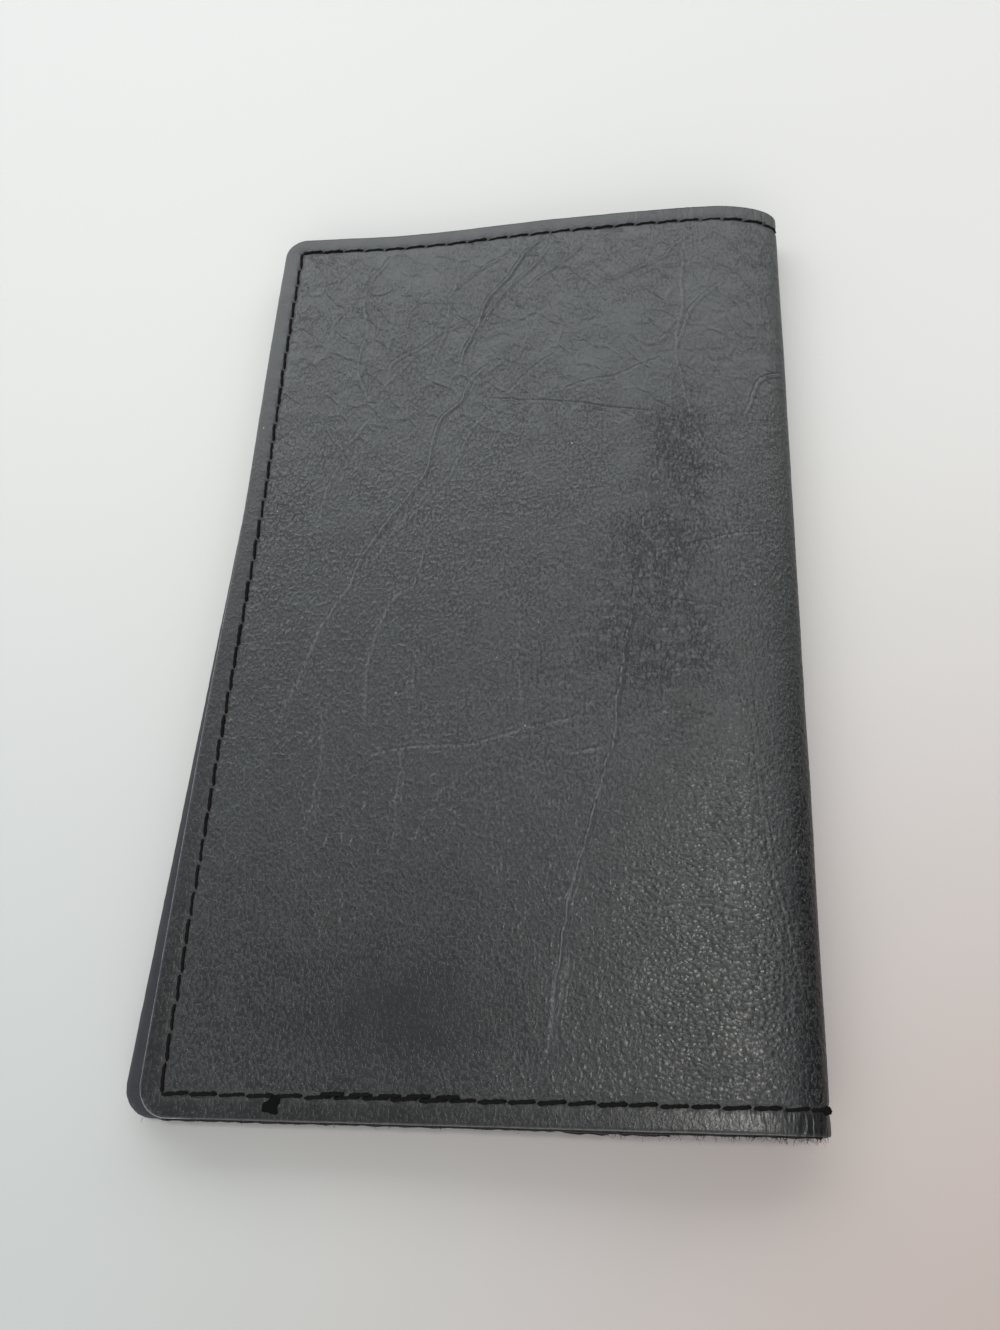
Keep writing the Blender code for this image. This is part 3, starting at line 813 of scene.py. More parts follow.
# %% Rims and finishes of a layer
# Extra loops at these distances from the cut edge, in mm, for its rounding and for the seam
SEAM_LOOPS = (0.07, 0.18, 0.42, 2.05, 2.35, 2.6, 2.85, 3.15)
RIM_ROUND = 0.05
RIM_FADE = 0.05 * MM


def rim_bulge(a, y, level):
    """How far a cut edge stands out between its two faces: a rounded, slightly ragged band."""
    ragged = 0.025 * soft_noise(a / MM * 3, y / MM * 3 + 7 * level, 1.0, 8)
    ragged += 0.02 * soft_noise(a / MM, y / MM, 1.7, 9)
    return (4 * level * (1 - level) * RIM_ROUND - RIM_ROUND + ragged) * MM


def spilled(a, y, spill):
    """How far a ragged lower edge peeps out, in metres.

    A spill is how far it does so at most, and from which to which x, in mm."""
    most, low_x, high_x = spill
    x = front_x(a)
    peek = smooth((x - low_x) / 2.0) * smooth((high_x - x) / 0.6)
    peek *= 0.75 + 0.25 * soft_noise(x, x * 0, 0.8, 12)
    return most * MM * peek * smooth((-y - TOP_Y + 1.5 * MM) / (1.5 * MM))


def face_finishes(work, level, inner, count):
    """Which finish each face gets: the seen face's, the cut edge's or the hidden face's."""
    levels = np.array([sum(level[v.index] for v in f.verts) / len(f.verts) for f in work.faces])
    upper, lower = levels < 0.01, levels > 0.99
    finishes = np.where(lower if inner else upper, 0, np.where(upper | lower, 2, 1))
    return np.minimum(finishes, count - 1)


# %% One layer
def layer(name, side, place, materials, relief, start=0.0, inset=0.0, pitch=0.8 * MM, openings=(),
          inner=True, spill=None):
    """One layer of one half as an object, and the places of the stitch holes in its pattern."""
    depth, thickness = place
    reach = (FRONT_REACH if side < 0 else BACK_REACH) - inset
    loops = [i * MM - inset for i in SEAM_LOOPS if i * MM > inset]
    radii = (BOTTOM_CORNER - inset, TOP_CORNER - inset)
    work = trimmed_grid(start, reach, TOP_Y - inset, pitch, radii, loops)
    for opening in openings:
        cut_opening(work, opening)
    thicken(work, thickness, RIM_CUTS)
    work.verts.index_update()
    flat = np.array([v.co for v in work.verts])
    a, y, level = flat[:, 0], flat[:, 1], -flat[:, 2] / thickness
    straight_a, straight_y = a, y
    a, y = hand_cut(side, a, y, reach)
    radius = corner_size(y, inset)
    edge = inside(side, a, y, inset, radius)
    seam = inside(side, a, y, SEAM_INSET, SEAM_CORNER)
    path, at = seam_path(side)
    whole = np.arange(round(at[-1]) + 1)
    holes = np.stack([np.interp(whole, at, path[:, i]) for i in (0, 1)], axis=1)
    run = run_along(path, at, a, y)
    gap = edge.copy()
    for opening in openings:
        gap = np.minimum(gap, outline_gap(straight_a, straight_y, list(opening)))
    if start > 0:
        gap = np.minimum(gap, a - start)
    height, attributes = relief(side, a, y, seam, run, gap)
    attributes["pattern"] = np.stack((a / MM, y / MM, -(depth + level * thickness) / MM), axis=1)
    attributes["seam"] = np.stack((seam / MM, run, gap / MM), axis=1)
    step = 1e-5
    slope_a = (inside(side, a + step, y, inset, radius) - edge) / step
    slope_y = (inside(side, a, y + step, inset, radius) - edge) / step
    bulge = rim_bulge(a, y, level) * np.exp(-np.maximum(edge, 0) / RIM_FADE)
    sign, seen_share = (-1, level) if inner else (1, 1 - level)
    h = -depth - level * thickness + sign * height * MM * seen_share
    y_shown = y - slope_y * bulge
    if spill:
        y_shown = y_shown - spilled(a, y, spill)
    points = wrap(np.stack((side * (a - slope_a * bulge), y_shown, h), axis=1))
    points[:, 2] = np.maximum(points[:, 2], 0.0)
    finishes = face_finishes(work, level, inner, len(materials))
    at_start = np.abs(straight_a - start) < 1e-6
    rim = at_start * (1 * (level < 0.01) + 2 * (level > 0.99))
    piece = finished_piece(work, name, points, materials, attributes, finishes, rim)
    triangles = sum(len(p.vertices) - 2 for p in piece.data.polygons)
    print(f"{name}: {triangles} triangles")
    return piece, holes


# %% The faces of the layers
def grain_relief(side, a, y, seam, run, gap):
    """The outer leather's face, with its creases and the amounts of grain."""
    if side < 0:
        x, up = front_x(a), y / MM
        creases = crease_distances(x, up)
    else:
        x, up = a / MM - 38, -y / MM
        creases = (np.full((4, len(a)), LINE_REACH), np.zeros((4, len(a))))
        turned = smooth((a / MM - 4) / 10)
        x = front_x(a) * (1 - turned) + x * turned
        up = y / MM * (1 - turned) + up * turned
    fine, coarse, veins, wear, rough, puckers, shade = face_amounts(x, up, seam / MM)
    height = face_height(side, a / MM, y / MM, seam / MM, run, gap / MM, creases)
    pairs = np.concatenate([np.stack((distance, depth)) for distance, depth in zip(*creases)])
    attributes = {
        "grain": np.stack((fine, coarse, veins), axis=1),
        "wear": np.stack((wear, rough, puckers), axis=1),
        "creases_1": pairs[0:3].T,
        "creases_2": pairs[3:6].T,
        # the third number of creases_3 is the painted shade
        "creases_3": np.stack((pairs[6], pairs[7], shade), axis=1),
    }
    return height, attributes


def panel_relief(side, a, y, seam, run, gap):
    """A smooth inner panel: soft edges, a pressed line beside them, and the seam's pull."""
    gap, seam = gap / MM, seam / MM
    height = -0.14 * bell(np.maximum(gap, 0), 0, 0.3) - 0.07 * bell(gap, 1.5, 0.28)
    height -= 0.10 * bell(seam, 0, 0.4) + 0.03 * bell(seam, 0, 0.4) * np.cos(2 * math.pi * run)
    height += 0.02 * soft_noise(a / MM, y / MM, 9.0, 21 + side) - 0.02
    return np.minimum(height, 0.0), {}


def plain_relief(side, a, y, seam, run, gap):
    """Lining, backing and vinyl: almost flat, with a slight pull at the seam."""
    height = -0.04 * bell(seam / MM, 0, 0.7) + 0.01 * soft_noise(a / MM, y / MM, 7.0, 31) - 0.01
    return height, {}


# %% [markdown]
# ## Black leather
#
# Wallet leather of this kind is a chrome-tanned hide, plated with a fine pebble grain and
# finished with a thin black film. So it is nearly black in itself, and what the eye reads is
# the film's soft sheen, broken by the grain. Pebble is rounded beads about half a millimetre
# across, with narrow valleys. Where the leather has worn, the valleys widen to pits. Valleys,
# pits, dips and the seam's groove are painted dark as shade, and a crease's ridge gets a pale
# painted highlight. Heights are millimetres, and one bump at the end turns them into slopes.

# %% Patterns that several finishes share
def summed(tree, terms, result=0.0):
    """The sum of products: each term is two or more values or nodes that are multiplied."""
    for value, *factors in terms:
        for factor in factors[:-1]:
            value = add(tree, "ShaderNodeMath", {0: value, 1: factor}, operation="MULTIPLY")
        result = add(tree, "ShaderNodeMath", {0: value, 1: factors[-1], 2: result}, operation="MULTIPLY_ADD")
    return result


def soft_line(tree, distance, width, centre=0.0):
    """1 along a line and 0 past its width, with soft sides, from the distance to it."""
    away = add(tree, "ShaderNodeMath", {0: distance, 1: centre}, operation="SUBTRACT")
    size = add(tree, "ShaderNodeMath", {0: away}, operation="ABSOLUTE")
    ends = {0: size, 1: 0.0, 2: width, 3: 1.0, 4: 0.0}
    return add(tree, "ShaderNodeMapRange", ends, interpolation_type="SMOOTHSTEP")


def wandering(tree, pattern, size, amount):
    """The pattern's places, pushed about by an amount over hills of the given size, in mm."""
    hills = add(tree, "ShaderNodeTexNoise", {"Vector": pattern, "Scale": 1 / size, "Detail": 1.0},
                noise_dimensions="2D")
    middle = (0.5, 0.5, 0.5)
    push = add(tree, "ShaderNodeVectorMath", {0: hills.outputs["Color"], 1: middle}, operation="SUBTRACT")
    moved = {0: push, 1: (amount, amount, 0.0), 2: pattern}
    return add(tree, "ShaderNodeVectorMath", moved, operation="MULTIPLY_ADD")


def sized(tree, pattern, size, turn=0.0):
    """The pattern turned, and divided by a width and a length in mm."""
    placed = {"Vector": pattern, "Scale": (*size, 1.0), "Rotation": (0, 0, turn)}
    return add(tree, "ShaderNodeMapping", placed, vector_type="TEXTURE")


def cells(tree, pattern, size, valley, turn=0.0):
    """Flat cells of a size in mm: 0 in the narrow valleys between them and 1 on their tops."""
    placed = sized(tree, pattern, size, turn)
    edge = add(tree, "ShaderNodeTexVoronoi", {"Vector": placed, "Scale": 1.0},
               voronoi_dimensions="2D", feature="DISTANCE_TO_EDGE")
    return add(tree, "ShaderNodeMapRange", {0: edge, 1: 0.0, 2: valley}, interpolation_type="SMOOTHSTEP")


def beads(tree, pattern, size, turn=0.0):
    """Round-topped cells of a size in mm: 1 on their tops, and lowest where they meet."""
    placed = sized(tree, pattern, size, turn)
    far = add(tree, "ShaderNodeTexVoronoi", {"Vector": placed, "Scale": 1.0}, voronoi_dimensions="2D")
    return summed(tree, [(far, far, -1.6)], 1.0)


def wrinkles(tree, pattern, size, width, turn=0.0):
    """Thin wandering lines, where a noise stretched to a size in mm passes its middle value."""
    placed = sized(tree, pattern, size, turn)
    hills = add(tree, "ShaderNodeTexNoise", {"Vector": placed, "Scale": 1.0, "Detail": 2.0},
                noise_dimensions="2D")
    return soft_line(tree, hills, width, 0.5)


def patches(tree, pattern, size, low, high):
    """Soft-edged patches of about a size in mm, from 0 to 1 as a noise goes from low to high."""
    hills = add(tree, "ShaderNodeTexNoise", {"Vector": pattern, "Scale": 1 / size, "Detail": 2.0},
                noise_dimensions="2D")
    return add(tree, "ShaderNodeMapRange", {0: hills, 1: low, 2: high}, interpolation_type="SMOOTHSTEP")


def read(tree, name):
    """A point attribute of the mesh, whole and as its three numbers."""
    stored = add(tree, "ShaderNodeAttribute", attribute_name=name).outputs["Vector"]
    return stored, add(tree, "ShaderNodeSeparateXYZ", {0: stored}).outputs


def bumped(tree, shader, height, millimetres=1.0):
    """Turns a height in mm into the slope that the shader sees."""
    bump = add(tree, "ShaderNodeBump", {"Height": height, "Strength": 1.0, "Distance": millimetres * MM})
    plug(tree, bump, shader, "Normal")


# %% Heights of the outer leather's face
# In mm, negative where the form is sunk
FINE_HEIGHT = 0.056
COARSE_HEIGHT = 0.075
PORE_HEIGHT = 0.016
PIT_HEIGHT = -0.060
BROKEN_HEIGHT = 0.11
WORN_PIT_HEIGHT = -0.10
LARGE_VEIN_HEIGHT = 0.072
SMALL_VEIN_HEIGHT = 0.030
HAIR_HEIGHT = -0.020
CROSS_HEIGHT = 0.04
RIDGE_HEIGHT = 0.15
RIGHT_DIP_HEIGHT = -0.12
LEFT_DIP_HEIGHT = -0.03
GROOVE_HEIGHT = -0.09
PINCH_HEIGHT = -0.10
PUCKER_HEIGHT = -0.07
# Widths and places in mm. A crease's dips lie beside its ridge. Pores push the thread's groove
# about, and since they are a half on average, half of their push keeps it on the seam
CREASE_WIDTH = 0.30
DIP_PLACE = 0.42
GROOVE_PUSH = 0.22


# %% The outer leather's finish
def leather_material():
    """Hide plated with a pebble under a black film: pale soft sheen on the tops, painted shade between."""
    made, tree, shader = new_material("black_pebbled_leather")
    pattern, flat = read(tree, "pattern")
    _, grain = read(tree, "grain")
    _, worn = read(tree, "wear")
    _, seam = read(tree, "seam")
    sets = [read(tree, f"creases_{i}")[1] for i in (1, 2, 3)]
    fine_amount, coarse_amount, vein_amount = grain
    wear, rough, puckered = worn

    # pebble: small beads all over, larger ones low by the fold, and pits between them
    loose = wandering(tree, pattern, 1.6, 0.7)
    fine = beads(tree, loose, (0.46, 0.56))
    coarse = beads(tree, wandering(tree, pattern, 2.2, 0.5), (0.62, 0.46), 0.12)
    pits = patches(tree, sized(tree, pattern, (0.36, 0.62)), 1.0, 0.50, 0.64)
    pores = add(tree, "ShaderNodeTexNoise", {"Vector": pattern, "Scale": 5.0, "Detail": 2.0},
                noise_dimensions="2D")
    heights = [(fine, fine_amount, FINE_HEIGHT), (coarse, coarse_amount, COARSE_HEIGHT),
               (pores, PORE_HEIGHT), (pits, fine_amount, PIT_HEIGHT)]

    # broken grain: wider cells, with gaps and larger pits between them where the leather is worn
    broken = cells(tree, loose, (0.62, 0.85), 0.20)
    worn_here = patches(tree, pattern, 1.8, 0.34, 0.60)
    worn_pits = patches(tree, sized(tree, loose, (0.46, 0.74)), 1.0, 0.52, 0.63)
    heights += [(broken, wear, worn_here, BROKEN_HEIGHT), (worn_pits, wear, WORN_PIT_HEIGHT)]

    # veins: thin broken wrinkles that run slanting up the cover, in two sizes
    drifting = wandering(tree, wandering(tree, pattern, 3.6, 1.5), 1.1, 0.2)
    large = cells(tree, drifting, (2.7, 5.4), 0.13, -0.55)
    small = cells(tree, drifting, (1.3, 2.2), 0.20, -0.4)
    some = patches(tree, pattern, 4.0, 0.32, 0.56)
    other = patches(tree, drifting, 2.6, 0.36, 0.62)
    heights += [(large, vein_amount, some, LARGE_VEIN_HEIGHT),
                (small, vein_amount, other, SMALL_VEIN_HEIGHT)]

    # wrinkles: faint long ones down the middle, and short ones across it where it is worn
    hairs = wrinkles(tree, pattern, (2.6, 14.0), 0.10, -0.12)
    cross = wrinkles(tree, wandering(tree, pattern, 1.2, 0.5), (5.5, 1.8), 0.16, 0.15)
    heights += [(hairs, vein_amount, HAIR_HEIGHT), (cross, wear, CROSS_HEIGHT)]

    # creases: a thin ridge between two dips, from the distances that the mesh carries. The ridge
    # gets a painted highlight and the right dip a painted shadow
    # the last number that the mesh carries is the painted shade
    *pairs, shade = [sets[k][i] for k in (0, 1, 2) for i in (0, 1, 2)]
    dip_shadow, ridge_highlight = 0.0, 0.0
    for distance, strength in zip(pairs[0::2], pairs[1::2]):
        ridge = soft_line(tree, distance, CREASE_WIDTH)
        right = soft_line(tree, distance, CREASE_WIDTH, DIP_PLACE)
        left = soft_line(tree, distance, CREASE_WIDTH, -DIP_PLACE)
        heights += [(ridge, strength, RIDGE_HEIGHT), (right, strength, RIGHT_DIP_HEIGHT),
                    (left, strength, LEFT_DIP_HEIGHT)]
        dip_shadow = summed(tree, [(right, strength)], dip_shadow)
        ridge_highlight = summed(tree, [(ridge, strength)], ridge_highlight)

    # seam: the thread's ragged groove, a pinch at each hole, and puckers across the margin
    ragged = summed(tree, [(pores, GROOVE_PUSH)], seam[0])
    groove = soft_line(tree, ragged, 0.58, GROOVE_PUSH / 2)
    turns = add(tree, "ShaderNodeMath", {0: seam[1], 1: 2 * math.pi}, operation="MULTIPLY")
    beat = add(tree, "ShaderNodeMath", {0: turns}, operation="COSINE")
    hole = add(tree, "ShaderNodeMapRange", {0: beat, 1: 0.72, 2: 1.0}, interpolation_type="SMOOTHSTEP")
    pinched = soft_line(tree, ragged, 0.8, GROOVE_PUSH / 2)
    puckers = wrinkles(tree, pattern, (1.1, 5.0), 0.22)
    heights += [(groove, GROOVE_HEIGHT), (pinched, hole, PINCH_HEIGHT),
                (puckers, puckered, PUCKER_HEIGHT)]
    bumped(tree, shader, summed(tree, heights))

    # painted shade: the film is drawn black in valleys, pits, dips and puckers, and along the thread,
    # where shade falls
    low_coarse = add(tree, "ShaderNodeMath", {0: 1.0, 1: coarse}, operation="SUBTRACT")
    gaps = add(tree, "ShaderNodeMath", {0: 1.0, 1: broken}, operation="SUBTRACT")
    dark = [(pits, fine_amount, 1.1), (gaps, wear, worn_here, 0.5), (worn_pits, wear, 0.8),
            (low_coarse, coarse_amount, 1.3), (dip_shadow, 0.7), (groove, 1.0),
            (pinched, hole, 1.0), (puckers, puckered, 0.2)]
    hollow_shade = add(tree, "ShaderNodeMath", {0: summed(tree, dark), 1: 1.0}, operation="MINIMUM")

    # where it is paler: in clouds, under specks of dust, and where worn cross wrinkles have rubbed;
    # the pale on crease ridges and the thin line along the open side's edge are painted highlights
    cloud = add(tree, "ShaderNodeTexNoise", {"Vector": pattern, "Scale": 0.16, "Detail": 3.0},
                noise_dimensions="2D")
    rubbed_and_highlit = summed(tree, [(cross, wear, 0.20), (ridge_highlight, 0.80)])
    specks = add(tree, "ShaderNodeTexVoronoi", {"Vector": pattern, "Scale": 0.22}, voronoi_dimensions="2D")
    near_speck = {0: specks, 1: 0.030, 2: 0.018, 4: 0.6}
    speck = add(tree, "ShaderNodeMapRange", near_speck, interpolation_type="SMOOTHSTEP")
    few = add(tree, "ShaderNodeMath", {0: specks.outputs["Color"], 1: 0.88}, operation="GREATER_THAN")
    dust = summed(tree, [(speck, few)])
    # painted highlight: a thin pale line along the open side's edge, where its rolled edge catches light
    at_side = add(tree, "ShaderNodeMapRange", {0: flat[0], 1: 71.0, 2: 73.0})
    edge_highlight = summed(tree, [(soft_line(tree, seam[2], 0.19), at_side, pores, 1.2)])

    # colour: the film, and over it one colour after another, each by its own share
    # the shade, the hollows' black, the ridges' pale and the edge's pale line are painted shade and
    # highlights; the clouds, the dust and the rubbed wrinkles are the film's own
    shares = [(cloud, "#1c2124"), (shade, "#040608"), (rubbed_and_highlit, "#4e5457"),
              (dust, "#8c9091"), (hollow_shade, "#030304"), (edge_highlight, "#8f9198")]
    base = rgba("#14181a")
    for share, colour in shares:
        base = add(tree, "ShaderNodeMix", {0: share, 6: base, 7: rgba(colour)}, data_type="RGBA")
    plug(tree, base, shader, "Base Color")

    # sheen: the film is glossier on the coarse pebble, and dull in pits and in the groove
    shine = summed(tree, [(pores, 0.10), (hollow_shade, 0.20)], -0.05)
    plug(tree, add(tree, "ShaderNodeMath", {0: shine, 1: rough}, operation="ADD"), shader, "Roughness")
    shader.inputs["Specular IOR Level"].default_value = 0.6
    return made


# %% [markdown]
# ## The other finishes
#
# Raw cut leather is a fibrous dark band where the black film stops. Its underside is suede.
# The inner panels are thin smooth leather, the lining is close-woven nylon, the window is
# clear soft vinyl, and the thread is waxed and black.

# %% Finishes of the cut edge and the suede
def cut_edge_material():
    """Raw dyed fibres where the knife went: a dull brown-black band, streaked along the edge."""
    made, tree, shader = new_material("raw_cut_leather")
    pattern, _ = read(tree, "pattern")
    long_way = add(tree, "ShaderNodeMapping", {"Vector": pattern, "Scale": (1.0, 1.0, 6.0)})
    tangle = {"Vector": long_way, "Scale": 3.5, "Detail": 4.0, "Roughness": 0.7}
    fibres = add(tree, "ShaderNodeTexNoise", tangle)
    colour = add(tree, "ShaderNodeMix", {0: fibres, 6: rgba("#0d0909"), 7: rgba("#2b1d1b")}, data_type="RGBA")
    plug(tree, colour, shader, "Base Color")
    shader.inputs["Roughness"].default_value = 0.9
    shader.inputs["Specular IOR Level"].default_value = 0.2
    bumped(tree, shader, fibres, 0.15)
    return made


def suede_material():
    """The hide's flesh side, sanded to a nap: soft, dull and a little brown."""
    made, tree, shader = new_material("dark_suede")
    pattern, _ = read(tree, "pattern")
    nap = add(tree, "ShaderNodeTexNoise", {"Vector": pattern, "Scale": 6.0, "Detail": 3.0, "Roughness": 0.7})
    colour = add(tree, "ShaderNodeMix", {0: nap, 6: rgba("#120d0c"), 7: rgba("#332524")}, data_type="RGBA")
    plug(tree, colour, shader, "Base Color")
    shader.inputs["Roughness"].default_value = 0.95
    shader.inputs["Specular IOR Level"].default_value = 0.2
    shader.inputs["Sheen Weight"].default_value = 0.15
    bumped(tree, shader, nap, 0.10)
    return made


# %% Finishes of the inner layers
LINING_THREADS = 2.0


def panel_material():
    """Thin split leather, plated smooth: an even low sheen with a trace of pores."""
    made, tree, shader = new_material("smooth_panel_leather")
    pattern, _ = read(tree, "pattern")
    pores = cells(tree, wandering(tree, pattern, 0.9, 0.4), (0.42, 0.42), 0.3)
    cloud = add(tree, "ShaderNodeTexNoise", {"Vector": pattern, "Scale": 0.2, "Detail": 4.0},
                noise_dimensions="2D")
    colour = add(tree, "ShaderNodeMix", {0: cloud, 6: rgba("#15161c"), 7: rgba("#20222a")}, data_type="RGBA")
    plug(tree, colour, shader, "Base Color")
    gloss = add(tree, "ShaderNodeMix", {0: cloud, 2: 0.40, 3: 0.56})
    plug(tree, gloss, shader, "Roughness")
    bumped(tree, shader, pores, 0.012)
    return made


def lining_material():
    """Woven nylon, dull with a fine check. Drawn at two threads to the millimetre, since the
    real weave is too fine to show."""
    made, tree, shader = new_material("woven_black_lining")
    pattern, flat = read(tree, "pattern")
    waves = []
    for place in flat[:2]:
        turns = add(tree, "ShaderNodeMath", {0: place, 1: math.pi * LINING_THREADS}, operation="MULTIPLY")
        wave = add(tree, "ShaderNodeMath", {0: turns}, operation="SINE")
        waves.append(add(tree, "ShaderNodeMath", {0: wave}, operation="ABSOLUTE"))
    weave = summed(tree, [(waves[0], waves[1])])
    colour = add(tree, "ShaderNodeMix", {0: weave, 6: rgba("#070708"), 7: rgba("#202123")}, data_type="RGBA")
    plug(tree, colour, shader, "Base Color")
    shader.inputs["Roughness"].default_value = 0.62
    bumped(tree, shader, weave, 0.06)
    return made


def vinyl_material():
    """Clear soft vinyl sheet: it mirrors the room in slow waves, dulled by slanting scuffs."""
    made, tree, shader = new_material("clear_vinyl")
    pattern, _ = read(tree, "pattern")
    waves = add(tree, "ShaderNodeTexNoise", {"Vector": pattern, "Scale": 0.12, "Detail": 2.0},
                noise_dimensions="2D")
    streaks = {"Vector": pattern, "Scale": (1.0, 0.2, 1.0), "Rotation": (0, 0, 0.5)}
    slanting = add(tree, "ShaderNodeMapping", streaks)
    scuffs = add(tree, "ShaderNodeTexNoise", {"Vector": slanting, "Scale": 2.0, "Detail": 3.0},
                 noise_dimensions="2D")
    shader.inputs["Base Color"].default_value = rgba("#dfe4e4")
    shader.inputs["Transmission Weight"].default_value = 0.92
    shader.inputs["IOR"].default_value = 1.45
    gloss = add(tree, "ShaderNodeMix", {0: scuffs, 2: 0.04, 3: 0.2})
    plug(tree, gloss, shader, "Roughness")
    bumped(tree, shader, waves, 0.12)
    return made


# %% Finishes of the thread and the loose fibres
def thread_material():
    """Twisted thread drawn through wax: black and nearly without shine."""
    made, tree, shader = new_material("waxed_black_thread")
    place = add(tree, "ShaderNodeTexCoord").outputs["Object"]
    fibres = add(tree, "ShaderNodeTexNoise", {"Vector": place, "Scale": 9000.0, "Detail": 3.0})
    colour = add(tree, "ShaderNodeMix", {0: fibres, 6: rgba("#010101"), 7: rgba("#0b0b0c")}, data_type="RGBA")
    plug(tree, colour, shader, "Base Color")
    shader.inputs["Roughness"].default_value = 0.75
    shader.inputs["Specular IOR Level"].default_value = 0.1
    bumped(tree, shader, fibres, 0.04)
    return made


def fluff_material():
    """Loose fibres of the cut edge: dull and brown-black."""
    made, _, shader = new_material("loose_leather_fibre")
    shader.inputs["Base Color"].default_value = rgba("#1b1514")
    shader.inputs["Roughness"].default_value = 0.9
    shader.inputs["Specular IOR Level"].default_value = 0.2
    return made


# %% One of each finish
LEATHER_FINISH = leather_material()
CUT_FINISH = cut_edge_material()
SUEDE_FINISH = suede_material()
PANEL_FINISH = panel_material()
LINING_FINISH = lining_material()
VINYL_FINISH = vinyl_material()
THREAD_FINISH = thread_material()
FLUFF_FINISH = fluff_material()
LEATHER_FINISHES = [LEATHER_FINISH, CUT_FINISH, SUEDE_FINISH]
PANEL_FINISHES = [PANEL_FINISH, CUT_FINISH, SUEDE_FINISH]
print("finishes:", len(bpy.data.materials))

# %% [markdown]
# ## The pieces in place
#
# Every piece keeps the closed pose in which it was laid, with its place baked into its mesh.
# The panels stop short of the fold and are hung on an empty for their half, front or back.


def bend(piece, side):
    if side < 0:
        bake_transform(piece)
    else:
        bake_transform(piece)


# %% Outer leather
front_leather, front_holes = layer(
    "front_leather", -1, LEATHER_LAYER, LEATHER_FINISHES, grain_relief, pitch=0.5 * MM, inner=False
)
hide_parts("front_cover", "spine_cover")
bend(front_leather, -1)

back_leather, back_holes = layer(
    "back_leather", 1, LEATHER_LAYER, LEATHER_FINISHES, grain_relief, pitch=0.5 * MM, inner=False
)
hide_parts("back_cover")
bend(back_leather, 1)

# %% Lining
# The front's lining peeps out all along its lower edge
LINING_SPILL = (0.24, -60.0, 60.0)
LININGS = [
    (-1, "front_lining_cloth", LINING_SPILL, ("front_lining", "spine_lining")),
    (1, "back_lining_cloth", None, ("back_lining",)),
]
for side, name, spill, nodes in LININGS:
    cloth, _ = layer(name, side, LINING_LAYER, [LINING_FINISH], plain_relief, spill=spill)
    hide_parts(*nodes)
    bend(cloth, side)

# %% [markdown]
# ## The inner panels
#
# On the front, a clear vinyl window is caught under a leather frame with a thumb notch. On
# the back, a panel with a shield-shaped recess lies over a suede backing, which has two slits
# for a badge's pin. The panels' free edges stop short of the fold, so it can open flat. The
# frame was cut a little long at its lower edge and peeps out there.

# %% Window and its frame
FRAME_SPILL = (0.45, 10.5, 26.3)
window_middle = FREE_EDGE + WINDOW_BORDER + WINDOW_WIDTH / 2
window_opening = rounded_rectangle(window_middle, 0.0, WINDOW_WIDTH, WINDOW_HEIGHT, WINDOW_CORNER)
window_frame, _ = layer(
    "window_frame_leather", -1, FRAME_LAYER, PANEL_FINISHES, panel_relief, start=FREE_EDGE,
    openings=[window_opening, thumb_notch()], spill=FRAME_SPILL,
)
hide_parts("window_frame")
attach(window_frame, "front")

vinyl, _ = layer(
    "vinyl_window", -1, VINYL_LAYER, [VINYL_FINISH], plain_relief,
    start=FREE_EDGE + VINYL_INSET, inset=VINYL_INSET, pitch=1.6 * MM,
)
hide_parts("id_window")
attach(vinyl, "front")

# %% Badge panel and its backing
badge_middle = (FREE_EDGE + BACK_REACH - (OVERHANG_BOTTOM - OVERHANG_TOP)) / 2
badge_panel, _ = layer(
    "badge_panel_leather", 1, PANEL_LAYER, PANEL_FINISHES, panel_relief, start=FREE_EDGE,
    openings=[shield(badge_middle)],
)
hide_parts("badge_panel")
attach(badge_panel, "back")

slit_places = [badge_middle - SLIT_SPACING / 2, badge_middle + SLIT_SPACING / 2]
slits = [rounded_rectangle(place, 0.0, SLIT_WIDTH, SLIT_LENGTH, 0.3 * MM) for place in slit_places]
badge_backing, _ = layer(
    "badge_backing_suede", 1, BACKING_LAYER, [SUEDE_FINISH], plain_relief, start=FREE_EDGE,
    pitch=1.2 * MM, openings=slits,
)
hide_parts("badge_backing")
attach(badge_backing, "back")

# %% [markdown]
# ## The seam
#
# A lockstitch in waxed black two-ply thread. Each stitch lies a little askew between two
# holes and dips into them. It starts as one short cylinder, cut into rings. Copies of it are
# laid between the holes and pressed to a two-lobed section that turns as it goes, which
# reads as two plies at this size. The same seam shows on the inner side, where it runs over
# the panels and, past their free edges, over the lining. Along the bottom it was sewn over
# twice for a short way, and it ends in a small knot on the fold.

# %% Rods, and copies of them laid on the wallet
def pointing(turn):
    """A step of length 1 in the flat pattern, turned by radians from straight across."""
    return np.array((math.cos(turn), math.sin(turn)))


def rod(sides, rings, tip=1.0):
    """A rod of unit length and radius along Z, cut into rings, as a mesh to copy."""
    work = bmesh.new()
    bmesh.ops.create_cone(work, cap_ends=True, segments=sides, radius1=1.0, radius2=tip, depth=1.0)
    lengthwise = [e for e in work.edges if abs(e.verts[0].co.z - e.verts[1].co.z) > 0.5]
    bmesh.ops.subdivide_edges(work, edges=lengthwise, cuts=rings - 1, use_grid_fill=True)
    mesh = bpy.data.meshes.new("rod")
    work.to_mesh(mesh)
    work.free()
    return mesh, np.array([v.co for v in mesh.vertices])


def laid_copies(name, pattern_mesh, sets_of_points, material):
    """One object of many copies of a mesh, each with its own flat points, wrapped on the wallet."""
    work = bmesh.new()
    for _ in sets_of_points:
        work.from_mesh(pattern_mesh)
    piece = finished_piece(work, name, wrap(np.concatenate(sets_of_points)), [material])
    print(f"{name}: {len(sets_of_points)} copies, {len(piece.data.polygons)} faces")
    return piece


